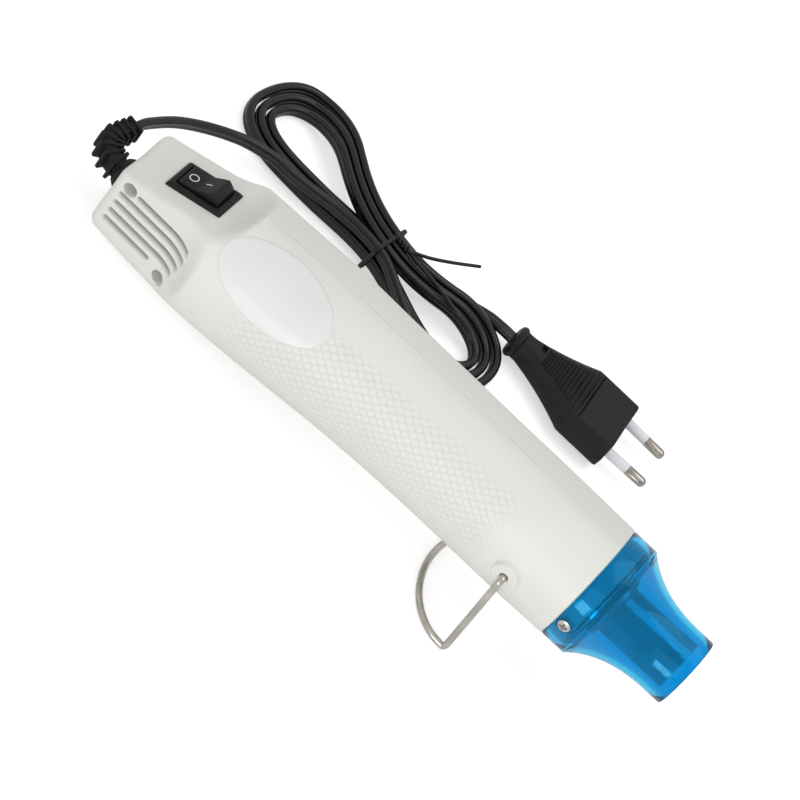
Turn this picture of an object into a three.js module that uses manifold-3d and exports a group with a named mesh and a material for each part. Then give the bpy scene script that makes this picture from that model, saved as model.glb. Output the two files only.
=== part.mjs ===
// A small hot air tool for crafts, parked on its folding wire stand, with its flat lead tied in a hank.
// Millimetres, +Z up. Z = 0 is the table, X runs towards the nozzle, and the origin lies under
// the middle of the tool. The tool's own frame starts at the rear face, on the tool's axis.

import * as THREE from 'three';
import { mergeVertices } from 'three/addons/utils/BufferGeometryUtils.js';
import Module from 'manifold-3d';

const wasm = await Module();
wasm.setup();

// Fits, how far a cut runs past a face, and the sides of round pieces
const GAP = 0.3;
const CUT = 1;
const BEYOND = 60;
const SIDES = { large: 24, plain: 16, small: 12, tiny: 10 };
const HOUSING_RINGS = 14;
const HOUSING_SEGMENTS = 32;
const CURVE_STEPS = 6;

// How the tool stands
const PITCH = THREE.MathUtils.degToRad(5);

// Housing: stations along the axis, each with a distance, the radius and the rise of the centre.
// The rear stations are measured from the rear face, the front ones back from the front rim.
const HOUSING_LENGTH = 207;
const REAR_STATIONS = [
  [0, 24.4, -2.9], [22, 25.6, -3.5], [42, 26, -3.5], [62, 25.9, -2.7], [82, 25.5, -1.3], [104, 24.5, -0.4],
];
const FRONT_STATIONS = [[79, 23.9, 0.2], [51, 23.6, 0.2], [23, 23.6, 0], [0, 23.3, 0]];
const HOUSING_WALL = 2.4;
const BORE_RADIUS = 20.8;
const BORE_START = 72;
const REAR_REACH = 80;
const NECK_LENGTH = 7;
const NECK_WALL = 2.2;

// Rear scoops: the sloped top that carries the switch, and the two vent panels
const TOP_SCOOP = { start: 4.7, slope: THREE.MathUtils.degToRad(14.6), end: 35, radius: 15, sweep: 1.1 };
const SIDE_SCOOP = { start: 15.2, slope: THREE.MathUtils.degToRad(2), end: 26, radius: 17, sweep: 1.15 };

// Vent slots: first and last distance from the rear face, and height over the axis
const VENT_SLOTS = [[10, 35.5, 2.4], [4, 36, -2], [4, 35.5, -6.5], [4, 34.5, -10.9], [4, 25, -15.3]];
const VENT_HEIGHT = 1.9;

// Rocker switch
const SWITCH_X = 24;
const BEZEL = { length: 21.4, width: 15, height: 1.7 };
const SWITCH_BODY = { length: 18.8, width: 12.6, depth: 12 };
const SWITCH_WELL = { length: 17.2, width: 10.8, depth: 8.4 };
const ROCKER = { length: 15.6, width: 10, end: 2.6, middle: 1.2, skirt: 2.2, keel: 4.8, keelLength: 5.6 };
const ROCKER_PIVOT_DROP = 0.5;
const ROCKER_TILT = THREE.MathUtils.degToRad(11);
const TERMINAL = { width: 4.8, thick: 0.8, length: 8.5, seat: 2, spread: 9.6 };

// Screws that join the housing halves: distance from the rear face and height over the axis
const HOUSING_SCREWS = { rear: [6.4, 2.4], front: [31.5, -17.4] };
const SCREW_PILLAR_RADIUS = 3.4;
const SCREW_RECESS_RADIUS = 2.6;
const SCREW_SHOULDER = 8;
const SCREW_HEAD = { radius: 1.9, height: 1.5 };
const SCREW_SHANK = { radius: 1, length: 15.5 };

// Bare oval label on the upper left side
const LABEL = {
  x: 66, angle: THREE.MathUtils.degToRad(43), length: 46, width: 26, thick: 0.3, steps: 18,
};

// Nozzle guard
const GUARD = {
  length: 45.2, rim: 10.2, radius: 23.1, outlet: 13.6, wall: 2, straight: 6.5, throat: 10.4, steps: 5,
};
const GUARD_SHOULDER = { thick: 1.3, depth: 1.6 };
const GUARD_SCREW = { x: 3.6, headRadius: 2.4, headHeight: 1.3, shankRadius: 1.1, shankLength: 5.4 };

// Wire stand
const PIVOT_BACK = 22;
const WIRE_RADIUS = 1.25;
const BOSS = { radius: 4.9, reach: 25.6 };
const WIRE_BEND = 2.3;
const WIRE_TIP = 22;
const LEG_LEAN = THREE.MathUtils.degToRad(8.4);
const FOOT_BEND = 3;
const FOOT_DEPTH = 24.4;
const FOOT_STEPS = 9;
const WIRE_SIDES = 8;
const WIRE_BEND_STEPS = 4;

// Heater in the nozzle
const BARREL = { radius: 9.5, wall: 0.5, behindRim: 9, shortOfGuard: 4.2, flangeThick: 1.3 };
const SLEEVE = { wall: 0.5, shortOfBarrel: 2.5 };
const HEATER_BASE = { flange: 11.5, thick: 2.6, spigot: 1.8, hole: 1.8, holes: 4, holeCircle: 5.2 };
const MICA = { thick: 0.8, half: 6.3, shortOfSleeve: 2 };
const COIL = { radius: 7.3, wire: 0.45, turns: 8, margin: 4, steps: 8, sides: 5 };
const FUSE = { radius: 1.3, length: 9, height: 8 };

// Motor and fan
const MOTOR = { radius: 12, wall: 0.8, rear: 104, front: 140, capThick: 2.2 };
const MOTOR_BEARING = { radius: 3, length: 4.4 };
const SHAFT = { radius: 1.15, rear: 100.6, front: 161 };
const ARMATURE = { radius: 8.5, rear: 110, front: 132, slots: 3, slotWidth: 2.2, slotDepth: 5 };
const MAGNET = {
  thick: 1.6, rear: 109, front: 133, halfAngle: THREE.MathUtils.degToRad(58), steps: 4,
};
const MOTOR_MOUNT = { x: 118, thick: 4, windows: 6, windowRadius: 3.2, windowCircle: 16.4 };
const FAN = {
  hub: 4.2, tip: 18, rear: 149, length: 11,
  blades: 7, bladeLength: 8.8, bladeThick: 1.2, root: 2.5, twist: 0.62,
};
const BOARD = { radius: 10.4, thick: 1.2, shaftHole: 2 };
const DIODE = { radius: 1.2, length: 4.6, spreadY: 4, spreadZ: 5.6 };

// Strain relief boot: it leaves the rear face and turns to the far side
const BOOT = {
  drop: 9, flange: 6.3, flangeThick: 2, neck: 4.7, innerFlange: 6.1, rootRadius: 4.7, tipRadius: 3.4,
  lead: 3, bend: 8, turn: THREE.MathUtils.degToRad(102), tail: 8.5, ribs: 7, ribDepth: 0.7,
  ringsPerRib: 3, bendSteps: 8,
};

// Flat two core cord, which stands on its edge from the boot to the end of the hank
const CORD = { width: 5.2, thick: 3.3, sides: 8, leadSteps: 22, tailSteps: 18 };
// The lead's points after the boot, chosen by hand: distance along X, Y and height of its middle
const LEAD_POINTS = [
  [-133.4, 29, 16.4], [-129.9, 36.9, 15], [-125.7, 44.3, 13.2], [-120.1, 51.7, 11.6], [-114, 58.2, 10.3],
  [-107.4, 63.6, 9.3],
];
const TAIL_POINTS = [
  [-43.2, 80.9, 4.4], [-32.6, 84.4, 3.5], [-21.8, 90.1, 2.75], [-11.6, 95.2, 3.1], [-2.6, 96.8, 5.2],
];

// Hank: three turns round two ends, drawn in at the waist, which a tie holds. The far runs climb onto
// the near runs there, the first run comes in on top of its neighbour, and the rear loop swells most on
// its far side.
const HANK = {
  x: -48.3, y: 82, turn: THREE.MathUtils.degToRad(-7.5), rearLength: 74, frontLength: 61.8,
  waist: 14.5, swell: 28, rearSwell: 53.4, pitchEnds: 4, pitchWaist: 4.15,
  pitchNear: 4, pitchFront: 6, pitchRear: 7.5,
  turns: 3.09, start: THREE.MathUtils.degToRad(232), stepsPerTurn: 34, sides: 6,
  hump: 6.2, humpStart: -34, humpEnd: 56, humpRamp: 26,
  drawIn: 10, drawStart: 4, drawStartRamp: 60, drawEnd: 56, drawEndRamp: 50,
  rideTurns: 0.36, ride: 6.2, asideIn: [-46, -14], asideOut: [2, 26], dropOut: [22, 54],
  lift: 2.3, liftReach: 30, gapSteps: 4, gapTurn: 0.33,
};

// Twist tie round the waist
const TIE = {
  wire: 0.85, along: 1, sides: 6, bend: 2.4, bendSteps: 3, knot: 1.5, knotLength: 7,
  ends: [[[0, 0, 0], [8, 0.6, 0.6], [27, 18, -0.6]], [[0, 0, 0], [8, -0.8, 0.4], [26, -10, 0]]],
};

// Two pin plug, lying on its broad side
const PLUG = {
  x: 60, y: 101, turn: THREE.MathUtils.degToRad(5), halfWidth: 17.6, halfHeight: 6.85,
  head: 19, taper: 27, neck: 2.7, neckRadius: 5.7, collar: 3.3, collarRadius: 6.6, drawIn: 1,
};
// Where the plug's section turns its corners, as shares of its half sizes, round and six sided
const PLUG_CORNERS = { round: [0.41, 0.41], flat: [0.7, 0.28] };
const PIN = {
  radius: 2, core: 1.3, length: 19, sleeve: 10, spread: 18.6, toeIn: THREE.MathUtils.degToRad(1.6), root: 8,
  dome: 1, tip: 1.1, seat: 1.2,
};

// Materials
const OFF_WHITE = new THREE.MeshStandardMaterial({ color: 0xdfe1d8, roughness: 0.5, metalness: 0 });
const BLUE = new THREE.MeshStandardMaterial({ color: 0x1a7fc4, roughness: 0.15, metalness: 0 });
const BLACK = new THREE.MeshStandardMaterial({ color: 0x1d1e20, roughness: 0.45, metalness: 0 });
const RUBBER = new THREE.MeshStandardMaterial({ color: 0x161719, roughness: 0.55, metalness: 0 });
const LABEL_FILM = new THREE.MeshStandardMaterial({ color: 0xefecef, roughness: 0.35, metalness: 0 });
const STEEL = new THREE.MeshStandardMaterial({ color: 0xb9b6ae, roughness: 0.28, metalness: 1 });
const BRASS = new THREE.MeshStandardMaterial({ color: 0xc9a45a, roughness: 0.35, metalness: 1 });
const COPPER = new THREE.MeshStandardMaterial({ color: 0xb0653c, roughness: 0.4, metalness: 1 });
const MAGNET_GREY = new THREE.MeshStandardMaterial({ color: 0x3a3b3d, roughness: 0.7, metalness: 0.1 });
const MICA_SHEET = new THREE.MeshStandardMaterial({ color: 0xcdbb94, roughness: 0.6, metalness: 0 });
const CERAMIC = new THREE.MeshStandardMaterial({ color: 0xe9e4d6, roughness: 0.7, metalness: 0 });
const BOARD_GREEN = new THREE.MeshStandardMaterial({ color: 0x8a6a3a, roughness: 0.6, metalness: 0 });
const GREY_SLEEVE = new THREE.MeshStandardMaterial({ color: 0xb9bbc0, roughness: 0.4, metalness: 0 });
const NICKEL = new THREE.MeshStandardMaterial({ color: 0xc9c8c4, roughness: 0.25, metalness: 1 });

// Solids: a closed geometry becomes a manifold whose faces point out
function solid(geometry) {
  const bare = new THREE.BufferGeometry();
  bare.setAttribute('position', geometry.getAttribute('position'));
  bare.setIndex(geometry.getIndex());
  const merged = mergeVertices(bare, 1e-4);
  const position = merged.getAttribute('position').array;
  const index = merged.getIndex().array;
  const kept = [];
  for (let i = 0; i < index.length; i += 3) {
    const [a, b, c] = [index[i], index[i + 1], index[i + 2]];
    if (a !== b && b !== c && c !== a) kept.push(a, b, c);
  }
  const build = (triangles) => new wasm.Manifold(new wasm.Mesh({
    numProp: 3,
    vertProperties: new Float32Array(position),
    triVerts: new Uint32Array(triangles),
  }));
  const first = build(kept);
  if (first.volume() > 0) return first;
  const turned = [];
  for (let i = 0; i < kept.length; i += 3) turned.push(kept[i], kept[i + 2], kept[i + 1]);
  return build(turned);
}

function geometryOf(body) {
  const mesh = body.getMesh();
  const geometry = new THREE.BufferGeometry();
  geometry.setAttribute('position', new THREE.BufferAttribute(new Float32Array(mesh.vertProperties), 3));
  geometry.setIndex(new THREE.BufferAttribute(new Uint32Array(mesh.triVerts), 1));
  return geometry;
}

function piece(name, body, material, group) {
  const mesh = new THREE.Mesh(geometryOf(body), material);
  mesh.name = name;
  group.add(mesh);
  return mesh;
}

function box(x0, x1, y0, y1, z0, z1) {
  const geometry = new THREE.BoxGeometry(Math.abs(x1 - x0), Math.abs(y1 - y0), Math.abs(z1 - z0));
  geometry.translate((x0 + x1) / 2, (y0 + y1) / 2, (z0 + z1) / 2);
  return solid(geometry);
}

// A turned solid along X from points of [distance along X, radius]
function turned(profile, segments) {
  const geometry = new THREE.LatheGeometry(profile.map(([x, r]) => new THREE.Vector2(r, x)), segments);
  geometry.rotateZ(-Math.PI / 2);
  return solid(geometry);
}

function rod(x0, x1, radius, segments = SIDES.plain) {
  return turned([[x0, 0], [x0, radius], [x1, radius], [x1, 0]], segments);
}

function ring(x0, x1, inner, outer, segments = SIDES.large) {
  return turned([[x0, inner], [x0, outer], [x1, outer], [x1, inner], [x0, inner]], segments);
}

// A rod along Y
function crossRod(x, y0, y1, z, radius, segments = SIDES.plain) {
  const geometry = new THREE.CylinderGeometry(radius, radius, Math.abs(y1 - y0), segments);
  geometry.translate(x, (y0 + y1) / 2, z);
  return solid(geometry);
}

function placed(body, matrix) {
  const geometry = geometryOf(body);
  geometry.applyMatrix4(matrix);
  return solid(geometry);
}

// Rings with the same number of points, joined in a row and closed with flat ends or end to end
function loft(rings, closed = false) {
  const count = rings[0].length;
  const positions = [];
  const index = [];
  rings.forEach((points) => points.forEach((p) => positions.push(p.x, p.y, p.z)));
  const spans = closed ? rings.length : rings.length - 1;
  for (let i = 0; i < spans; i += 1) {
    const here = i * count;
    const next = ((i + 1) % rings.length) * count;
    for (let j = 0; j < count; j += 1) {
      const k = (j + 1) % count;
      index.push(here + j, next + j, next + k, here + j, next + k, here + k);
    }
  }
  if (!closed) {
    [0, rings.length - 1].forEach((end) => {
      const middle = rings[end].reduce((sum, p) => sum.add(p), new THREE.Vector3()).divideScalar(count);
      const centre = positions.length / 3;
      positions.push(middle.x, middle.y, middle.z);
      for (let j = 0; j < count; j += 1) {
        const a = end * count + j;
        const b = end * count + ((j + 1) % count);
        if (end === 0) index.push(centre, a, b);
        else index.push(centre, b, a);
      }
    });
  }
  const geometry = new THREE.BufferGeometry();
  geometry.setAttribute('position', new THREE.Float32BufferAttribute(positions, 3));
  geometry.setIndex(index);
  return solid(geometry);
}

// A section swept along points, upright, with its half sizes across and up given at each point
function swept(points, sizeAt, sides, closed = false, up = new THREE.Vector3(0, 0, 1)) {
  const last = points.length - 1;
  const rings = points.map((point, i) => {
    const before = points[closed ? (i + last) % (last + 1) : Math.max(i - 1, 0)];
    const after = points[closed ? (i + 1) % (last + 1) : Math.min(i + 1, last)];
    const along = after.clone().sub(before).normalize();
    const across = along.clone().cross(up).normalize();
    const rise = across.clone().cross(along);
    const [halfAcross, halfUp] = sizeAt(i / last);
    const section = [];
    for (let j = 0; j < sides; j += 1) {
      const angle = ((j + 0.5) / sides) * 2 * Math.PI;
      section.push(point.clone()
        .addScaledVector(across, halfAcross * Math.cos(angle))
        .addScaledVector(rise, halfUp * Math.sin(angle)));
    }
    return section;
  });
  return loft(rings, closed);
}

const smooth = (value, low, high) => THREE.MathUtils.smoothstep(value, low, high);

const root = new THREE.Group();
const tool = new THREE.Group();
root.add(tool);

// Housing
const stationCurve = new THREE.CatmullRomCurve3([
  ...REAR_STATIONS.map(([x, radius, rise]) => new THREE.Vector3(x, radius, rise)),
  ...FRONT_STATIONS.map(([back, radius, rise]) => new THREE.Vector3(HOUSING_LENGTH - back, radius, rise)),
]);
const stations = stationCurve.getPoints(HOUSING_RINGS);

// The housing's round body, drawn in by a wall's thickness
function roundBody(inset) {
  return loft(stations.map(({ x, y: radius, z: rise }) => {
    const points = [];
    for (let j = 0; j < HOUSING_SEGMENTS; j += 1) {
      const angle = (j / HOUSING_SEGMENTS) * 2 * Math.PI;
      const reach = radius - inset;
      points.push(new THREE.Vector3(x, reach * Math.cos(angle), rise + reach * Math.sin(angle)));
    }
    return points;
  }));
}

// What a scoop takes away: a slope from the rear that runs up a hollow curve into the round body
function scoopShape({ start, slope, end, radius, sweep }, inset) {
  const base = start - inset / Math.cos(slope);
  const heightAt = (x) => base + x * Math.tan(slope);
  const centre = new THREE.Vector2(
    end - (radius + inset) * Math.sin(slope),
    heightAt(end) + (radius + inset) * Math.cos(slope),
  );
  const from = slope - Math.PI / 2;
  const shape = new THREE.Shape();
  shape.moveTo(-CUT, heightAt(-CUT));
  shape.lineTo(end, heightAt(end));
  shape.absarc(centre.x, centre.y, radius + inset, from, from + sweep, false);
  shape.lineTo(shape.currentPoint.x, BEYOND);
  shape.lineTo(-CUT, BEYOND);
  return shape;
}

function scoopSolid(scoop, inset) {
  const options = { depth: BEYOND * 2, bevelEnabled: false, curveSegments: CURVE_STEPS };
  const geometry = new THREE.ExtrudeGeometry(scoopShape(scoop, inset), options);
  geometry.translate(0, 0, -BEYOND);
  return geometry;
}

function topScoop(inset) {
  return solid(scoopSolid(TOP_SCOOP, inset).rotateX(Math.PI / 2));
}

function sideScoop(inset, side) {
  const geometry = scoopSolid(SIDE_SCOOP, inset);
  if (side < 0) geometry.rotateX(Math.PI);
  return solid(geometry);
}

function scooped(inset) {
  return roundBody(inset)
    .subtract(topScoop(inset))
    .subtract(sideScoop(inset, 1))
    .subtract(sideScoop(inset, -1));
}

const facetHeight = TOP_SCOOP.start + SWITCH_X * Math.tan(TOP_SCOOP.slope);
const switchFrame = new THREE.Matrix4()
  .makeTranslation(SWITCH_X, 0, facetHeight)
  .multiply(new THREE.Matrix4().makeRotationY(-TOP_SCOOP.slope));

const neckRadius = GUARD.radius - GUARD.wall - GAP;
const neckEnd = HOUSING_LENGTH + NECK_LENGTH;
const pivotX = HOUSING_LENGTH - PIVOT_BACK;
const guardScrewX = HOUSING_LENGTH + GUARD_SCREW.x;
const outerBody = scooped(0);
const pillars = Object.values(HOUSING_SCREWS).map(([x, z]) => (
  crossRod(x, -BEYOND, BEYOND, z, SCREW_PILLAR_RADIUS).intersect(outerBody)
));

function housingBody() {
  const rearRoom = scooped(HOUSING_WALL)
    .intersect(box(HOUSING_WALL, REAR_REACH, -BEYOND, BEYOND, -BEYOND, BEYOND));
  const bore = rod(BORE_START, HOUSING_LENGTH - NECK_WALL, BORE_RADIUS, HOUSING_SEGMENTS);
  let body = outerBody.subtract(rearRoom).subtract(bore);
  pillars.forEach((pillar) => {
    body = body.add(pillar);
  });
  body = body.add(rod(HOUSING_LENGTH - NECK_WALL, neckEnd, neckRadius, HOUSING_SEGMENTS));
  const throatStart = HOUSING_LENGTH - NECK_WALL - CUT;
  const throat = rod(throatStart, neckEnd + CUT, neckRadius - NECK_WALL, HOUSING_SEGMENTS);
  body = body.subtract(throat);
  [-1, 1].forEach((side) => {
    const boss = crossRod(pivotX, side * BORE_RADIUS, side * BOSS.reach, 0, BOSS.radius, SIDES.large);
    const holeFrom = side * (BORE_RADIUS - CUT);
    const hole = crossRod(pivotX, holeFrom, side * (BOSS.reach + CUT), 0, WIRE_RADIUS + GAP);
    body = body.add(boss.subtract(bore)).subtract(hole);
    VENT_SLOTS.forEach(([from, to, z]) => {
      const inner = side * (SIDE_SCOOP.start - 2 * HOUSING_WALL);
      body = body.subtract(box(from, to, inner, side * BEYOND, z - VENT_HEIGHT / 2, z + VENT_HEIGHT / 2));
    });
    body = body.subtract(crossRod(guardScrewX, 0, side * BEYOND, 0, GUARD_SCREW.shankRadius + GAP));
  });
  Object.values(HOUSING_SCREWS).forEach(([x, z]) => {
    const tip = SCREW_SHANK.length - SCREW_SHOULDER + CUT;
    body = body
      .subtract(crossRod(x, -BEYOND, -SCREW_SHOULDER, z, SCREW_RECESS_RADIUS))
      .subtract(crossRod(x, -SCREW_SHOULDER - CUT, tip, z, SCREW_SHANK.radius + GAP, SIDES.small));
  });
  const switchHole = box(
    -SWITCH_BODY.length / 2 - GAP, SWITCH_BODY.length / 2 + GAP,
    -SWITCH_BODY.width / 2 - GAP, SWITCH_BODY.width / 2 + GAP, -SWITCH_BODY.depth, SWITCH_BODY.depth,
  );
  const bootHole = placed(
    rod(-CUT, 2 * HOUSING_WALL, BOOT.neck + GAP, SIDES.large),
    new THREE.Matrix4().makeTranslation(0, 0, -BOOT.drop),
  );
  return body.subtract(placed(switchHole, switchFrame)).subtract(bootHole);
}

const housing = housingBody();
['left', 'right'].forEach((name) => {
  const side = name === 'left' ? -1 : 1;
  const half = box(-BEYOND, HOUSING_LENGTH + BEYOND, (side * GAP) / 2, side * BEYOND, -BEYOND, BEYOND);
  piece(`housing_${name}`, housing.intersect(half), OFF_WHITE, tool);
});

Object.entries(HOUSING_SCREWS).forEach(([name, [x, z]]) => {
  const headBase = -SCREW_SHOULDER - GAP;
  const head = crossRod(x, headBase - SCREW_HEAD.height, headBase, z, SCREW_HEAD.radius);
  const tip = headBase + SCREW_SHANK.length;
  const shank = crossRod(x, headBase - SCREW_HEAD.height / 2, tip, z, SCREW_SHANK.radius, SIDES.small);
  piece(`housing_screw_${name}`, head.add(shank), STEEL, tool);
});

// Label: an oval of film that follows the round body
function labelBody() {
  const oval = new THREE.Shape();
  oval.absellipse(0, 0, LABEL.length / 2, LABEL.width / 2, 0, 2 * Math.PI);
  const options = { depth: BEYOND, bevelEnabled: false, curveSegments: LABEL.steps };
  const plug = new THREE.ExtrudeGeometry(oval, options);
  plug.rotateX(Math.PI / 2 - LABEL.angle);
  plug.translate(LABEL.x, 0, 0);
  return roundBody(-GAP - LABEL.thick)
    .subtract(roundBody(-GAP))
    .intersect(solid(plug));
}
piece('rating_label', labelBody(), LABEL_FILM, tool);

// Nozzle guard
const guardStart = HOUSING_LENGTH + GAP;
const guardEnd = HOUSING_LENGTH + GUARD.length;
const guardRimEnd = HOUSING_LENGTH + GUARD.rim;
const guardSeat = GUARD.radius - GUARD.wall / 2;
function flare(inset) {
  const rim = GUARD.radius - inset;
  const mouth = GUARD.outlet - inset;
  const end = guardEnd - GUARD.straight;
  const curve = new THREE.QuadraticBezierCurve(
    new THREE.Vector2(guardRimEnd, rim),
    new THREE.Vector2(guardRimEnd + GUARD.throat, mouth),
    new THREE.Vector2(end, mouth),
  );
  return curve.getPoints(GUARD.steps).map((p) => [p.x, p.y]);
}

const barrelFlangeRear = neckEnd + GAP;
const shoulderX = barrelFlangeRear + BARREL.flangeThick + GAP;
function guardBody() {
  const inner = GUARD.radius - GUARD.wall;
  const profile = [
    [guardStart, inner],
    [guardStart, GUARD.radius],
    ...flare(0),
    [guardEnd, GUARD.outlet],
    [guardEnd, GUARD.outlet - GUARD.wall],
    ...flare(GUARD.wall).reverse(),
    [guardStart, inner],
  ];
  const shoulderEnd = shoulderX + GUARD_SHOULDER.thick;
  const shoulderInner = inner - GUARD_SHOULDER.depth;
  const shoulder = ring(shoulderX, shoulderEnd, shoulderInner, inner + GUARD.wall / 2, HOUSING_SEGMENTS);
  let body = turned(profile, HOUSING_SEGMENTS).add(shoulder);
  [-1, 1].forEach((side) => {
    const head = crossRod(guardScrewX, side * guardSeat, side * BEYOND, 0, GUARD_SCREW.headRadius + GAP);
    const shank = crossRod(guardScrewX, 0, side * BEYOND, 0, GUARD_SCREW.shankRadius + GAP);
    body = body.subtract(head).subtract(shank);
  });
  return body;
}
piece('nozzle_guard', guardBody(), BLUE, tool);

['left', 'right'].forEach((name) => {
  const side = name === 'left' ? -1 : 1;
  const seat = guardSeat + GAP;
  const top = seat + GUARD_SCREW.headHeight;
  const tip = seat - GUARD_SCREW.shankLength;
  const head = crossRod(guardScrewX, side * seat, side * top, 0, GUARD_SCREW.headRadius);
  const neck = seat + GAP;
  const shank = crossRod(guardScrewX, side * tip, side * neck, 0, GUARD_SCREW.shankRadius, SIDES.small);
  piece(`guard_screw_${name}`, head.add(shank), STEEL, tool);
});

// Heater: a flanged steel barrel held between the neck and the guard's shoulder
const barrelInner = BARREL.radius - BARREL.wall;
const barrelRear = HOUSING_LENGTH - BARREL.behindRim;
const barrelFront = guardEnd - BARREL.shortOfGuard;
const sleeveFront = barrelFront - SLEEVE.shortOfBarrel;
const micaFront = sleeveFront - MICA.shortOfSleeve;
piece('heater_barrel', turned([
  [barrelRear, barrelInner],
  [barrelRear, BARREL.radius],
  [barrelFlangeRear, BARREL.radius],
  [barrelFlangeRear, neckRadius],
  [barrelFlangeRear + BARREL.flangeThick, neckRadius],
  [barrelFlangeRear + BARREL.flangeThick, BARREL.radius],
  [barrelFront, BARREL.radius],
  [barrelFront, barrelInner],
  [barrelRear, barrelInner],
], SIDES.large), STEEL, tool);

const sleeveOuter = barrelInner - GAP;
const baseFront = barrelRear + HEATER_BASE.spigot;
const sleeveInner = sleeveOuter - SLEEVE.wall;
piece('mica_sleeve', ring(baseFront + GAP, sleeveFront, sleeveInner, sleeveOuter), MICA_SHEET, tool);

const baseFlangeFront = barrelRear - GAP;
const baseRear = baseFlangeFront - HEATER_BASE.thick;
function heaterBase() {
  let body = turned([
    [baseRear, 0],
    [baseRear, HEATER_BASE.flange],
    [baseFlangeFront, HEATER_BASE.flange],
    [baseFlangeFront, sleeveOuter],
    [baseFront, sleeveOuter],
    [baseFront, 0],
  ], SIDES.large);
  for (let i = 0; i < HEATER_BASE.holes; i += 1) {
    const angle = ((i + 0.5) / HEATER_BASE.holes) * 2 * Math.PI;
    const hole = rod(baseRear - CUT, baseFront + CUT, HEATER_BASE.hole, SIDES.tiny);
    const place = new THREE.Matrix4().makeTranslation(
      0,
      HEATER_BASE.holeCircle * Math.cos(angle),
      HEATER_BASE.holeCircle * Math.sin(angle),
    );
    body = body.subtract(placed(hole, place));
  }
  return body;
}
piece('heater_base', heaterBase(), CERAMIC, tool);

const micaRear = baseFront + GAP;
const micaMiddle = (micaRear + micaFront) / 2;
const lapHalf = MICA.thick / 2 + GAP;
const halfMica = MICA.thick / 2;
const uprightPlate = box(micaRear, micaFront, -halfMica, halfMica, -MICA.half, MICA.half)
  .subtract(box(micaMiddle - GAP, micaFront + CUT, -MICA.thick, MICA.thick, -lapHalf, lapHalf));
piece('mica_plate_upright', uprightPlate, MICA_SHEET, tool);
const levelPlate = box(micaRear, micaFront, -MICA.half, MICA.half, -halfMica, halfMica)
  .subtract(box(micaRear - CUT, micaMiddle + GAP, -lapHalf, lapHalf, -MICA.thick, MICA.thick));
piece('mica_plate_level', levelPlate, MICA_SHEET, tool);

// Least distance from a wound tube's middle line to itself, past the stretch beside each point
function leastSelfDistance(points, skip) {
  let least = Infinity;
  for (let i = 0; i < points.length; i += 1) {
    for (let j = i + skip; j < points.length; j += 1) {
      least = Math.min(least, points[i].distanceTo(points[j]));
    }
  }
  return least;
}

function heaterCoil() {
  const points = [];
  const steps = COIL.turns * COIL.steps;
  const from = micaRear + COIL.margin;
  const to = micaFront - COIL.margin;
  for (let i = 0; i <= steps; i += 1) {
    const angle = (i / COIL.steps) * 2 * Math.PI;
    const x = from + ((to - from) * i) / steps;
    points.push(new THREE.Vector3(x, COIL.radius * Math.cos(angle), COIL.radius * Math.sin(angle)));
  }
  const gap = leastSelfDistance(points, COIL.steps - 1) - 2 * COIL.wire;
  console.log(`heater coil: least gap to itself ${gap.toFixed(2)} mm`);
  return swept(points, () => [COIL.wire, COIL.wire], COIL.sides, false, new THREE.Vector3(1, 0, 0));
}
piece('heater_coil', heaterCoil(), STEEL, tool);

const fuseX = baseRear - GAP - FUSE.radius;
const halfFuse = FUSE.length / 2;
piece('thermal_fuse', crossRod(fuseX, -halfFuse, halfFuse, FUSE.height, FUSE.radius), STEEL, tool);

// Motor: can, magnets, end cap, bearings, and the rotor that turns in them
const shaftBore = SHAFT.radius + GAP;
const bearingHole = MOTOR_BEARING.radius + GAP;
piece('motor_can', turned([
  [MOTOR.rear, MOTOR.radius - MOTOR.wall],
  [MOTOR.rear, MOTOR.radius],
  [MOTOR.front, MOTOR.radius],
  [MOTOR.front, bearingHole],
  [MOTOR.front - MOTOR.wall, bearingHole],
  [MOTOR.front - MOTOR.wall, MOTOR.radius - MOTOR.wall],
  [MOTOR.rear, MOTOR.radius - MOTOR.wall],
], SIDES.large), STEEL, tool);
const canInner = MOTOR.radius - MOTOR.wall - GAP;
const capRear = MOTOR.rear + GAP;
piece('motor_end_cap', ring(capRear, capRear + MOTOR.capThick, bearingHole, canInner), BLACK, tool);
const bearingSpans = {
  front: [MOTOR.front - MOTOR_BEARING.length / 2, MOTOR.front + MOTOR_BEARING.length / 2],
  rear: [capRear, capRear + MOTOR_BEARING.length],
};
Object.entries(bearingSpans).forEach(([name, [from, to]]) => {
  piece(`motor_bearing_${name}`, ring(from, to, shaftBore, MOTOR_BEARING.radius, SIDES.plain), BRASS, tool);
});

['upper', 'lower'].forEach((name) => {
  const arc = new THREE.Shape();
  const middle = name === 'upper' ? Math.PI / 2 : -Math.PI / 2;
  arc.absarc(0, 0, canInner, middle - MAGNET.halfAngle, middle + MAGNET.halfAngle, false);
  arc.absarc(0, 0, canInner - MAGNET.thick, middle + MAGNET.halfAngle, middle - MAGNET.halfAngle, true);
  const length = MAGNET.front - MAGNET.rear;
  const options = { depth: length, bevelEnabled: false, curveSegments: MAGNET.steps };
  const geometry = new THREE.ExtrudeGeometry(arc, options);
  geometry.rotateX(Math.PI / 2);
  geometry.rotateZ(Math.PI / 2);
  const body = solid(geometry);
  const reach = body.boundingBox();
  const shift = new THREE.Matrix4().makeTranslation(MAGNET.rear - reach.min[0], 0, 0);
  piece(`motor_magnet_${name}`, placed(body, shift), MAGNET_GREY, tool);
});

piece('motor_shaft', rod(SHAFT.rear, SHAFT.front, SHAFT.radius, SIDES.small), STEEL, tool);

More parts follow.
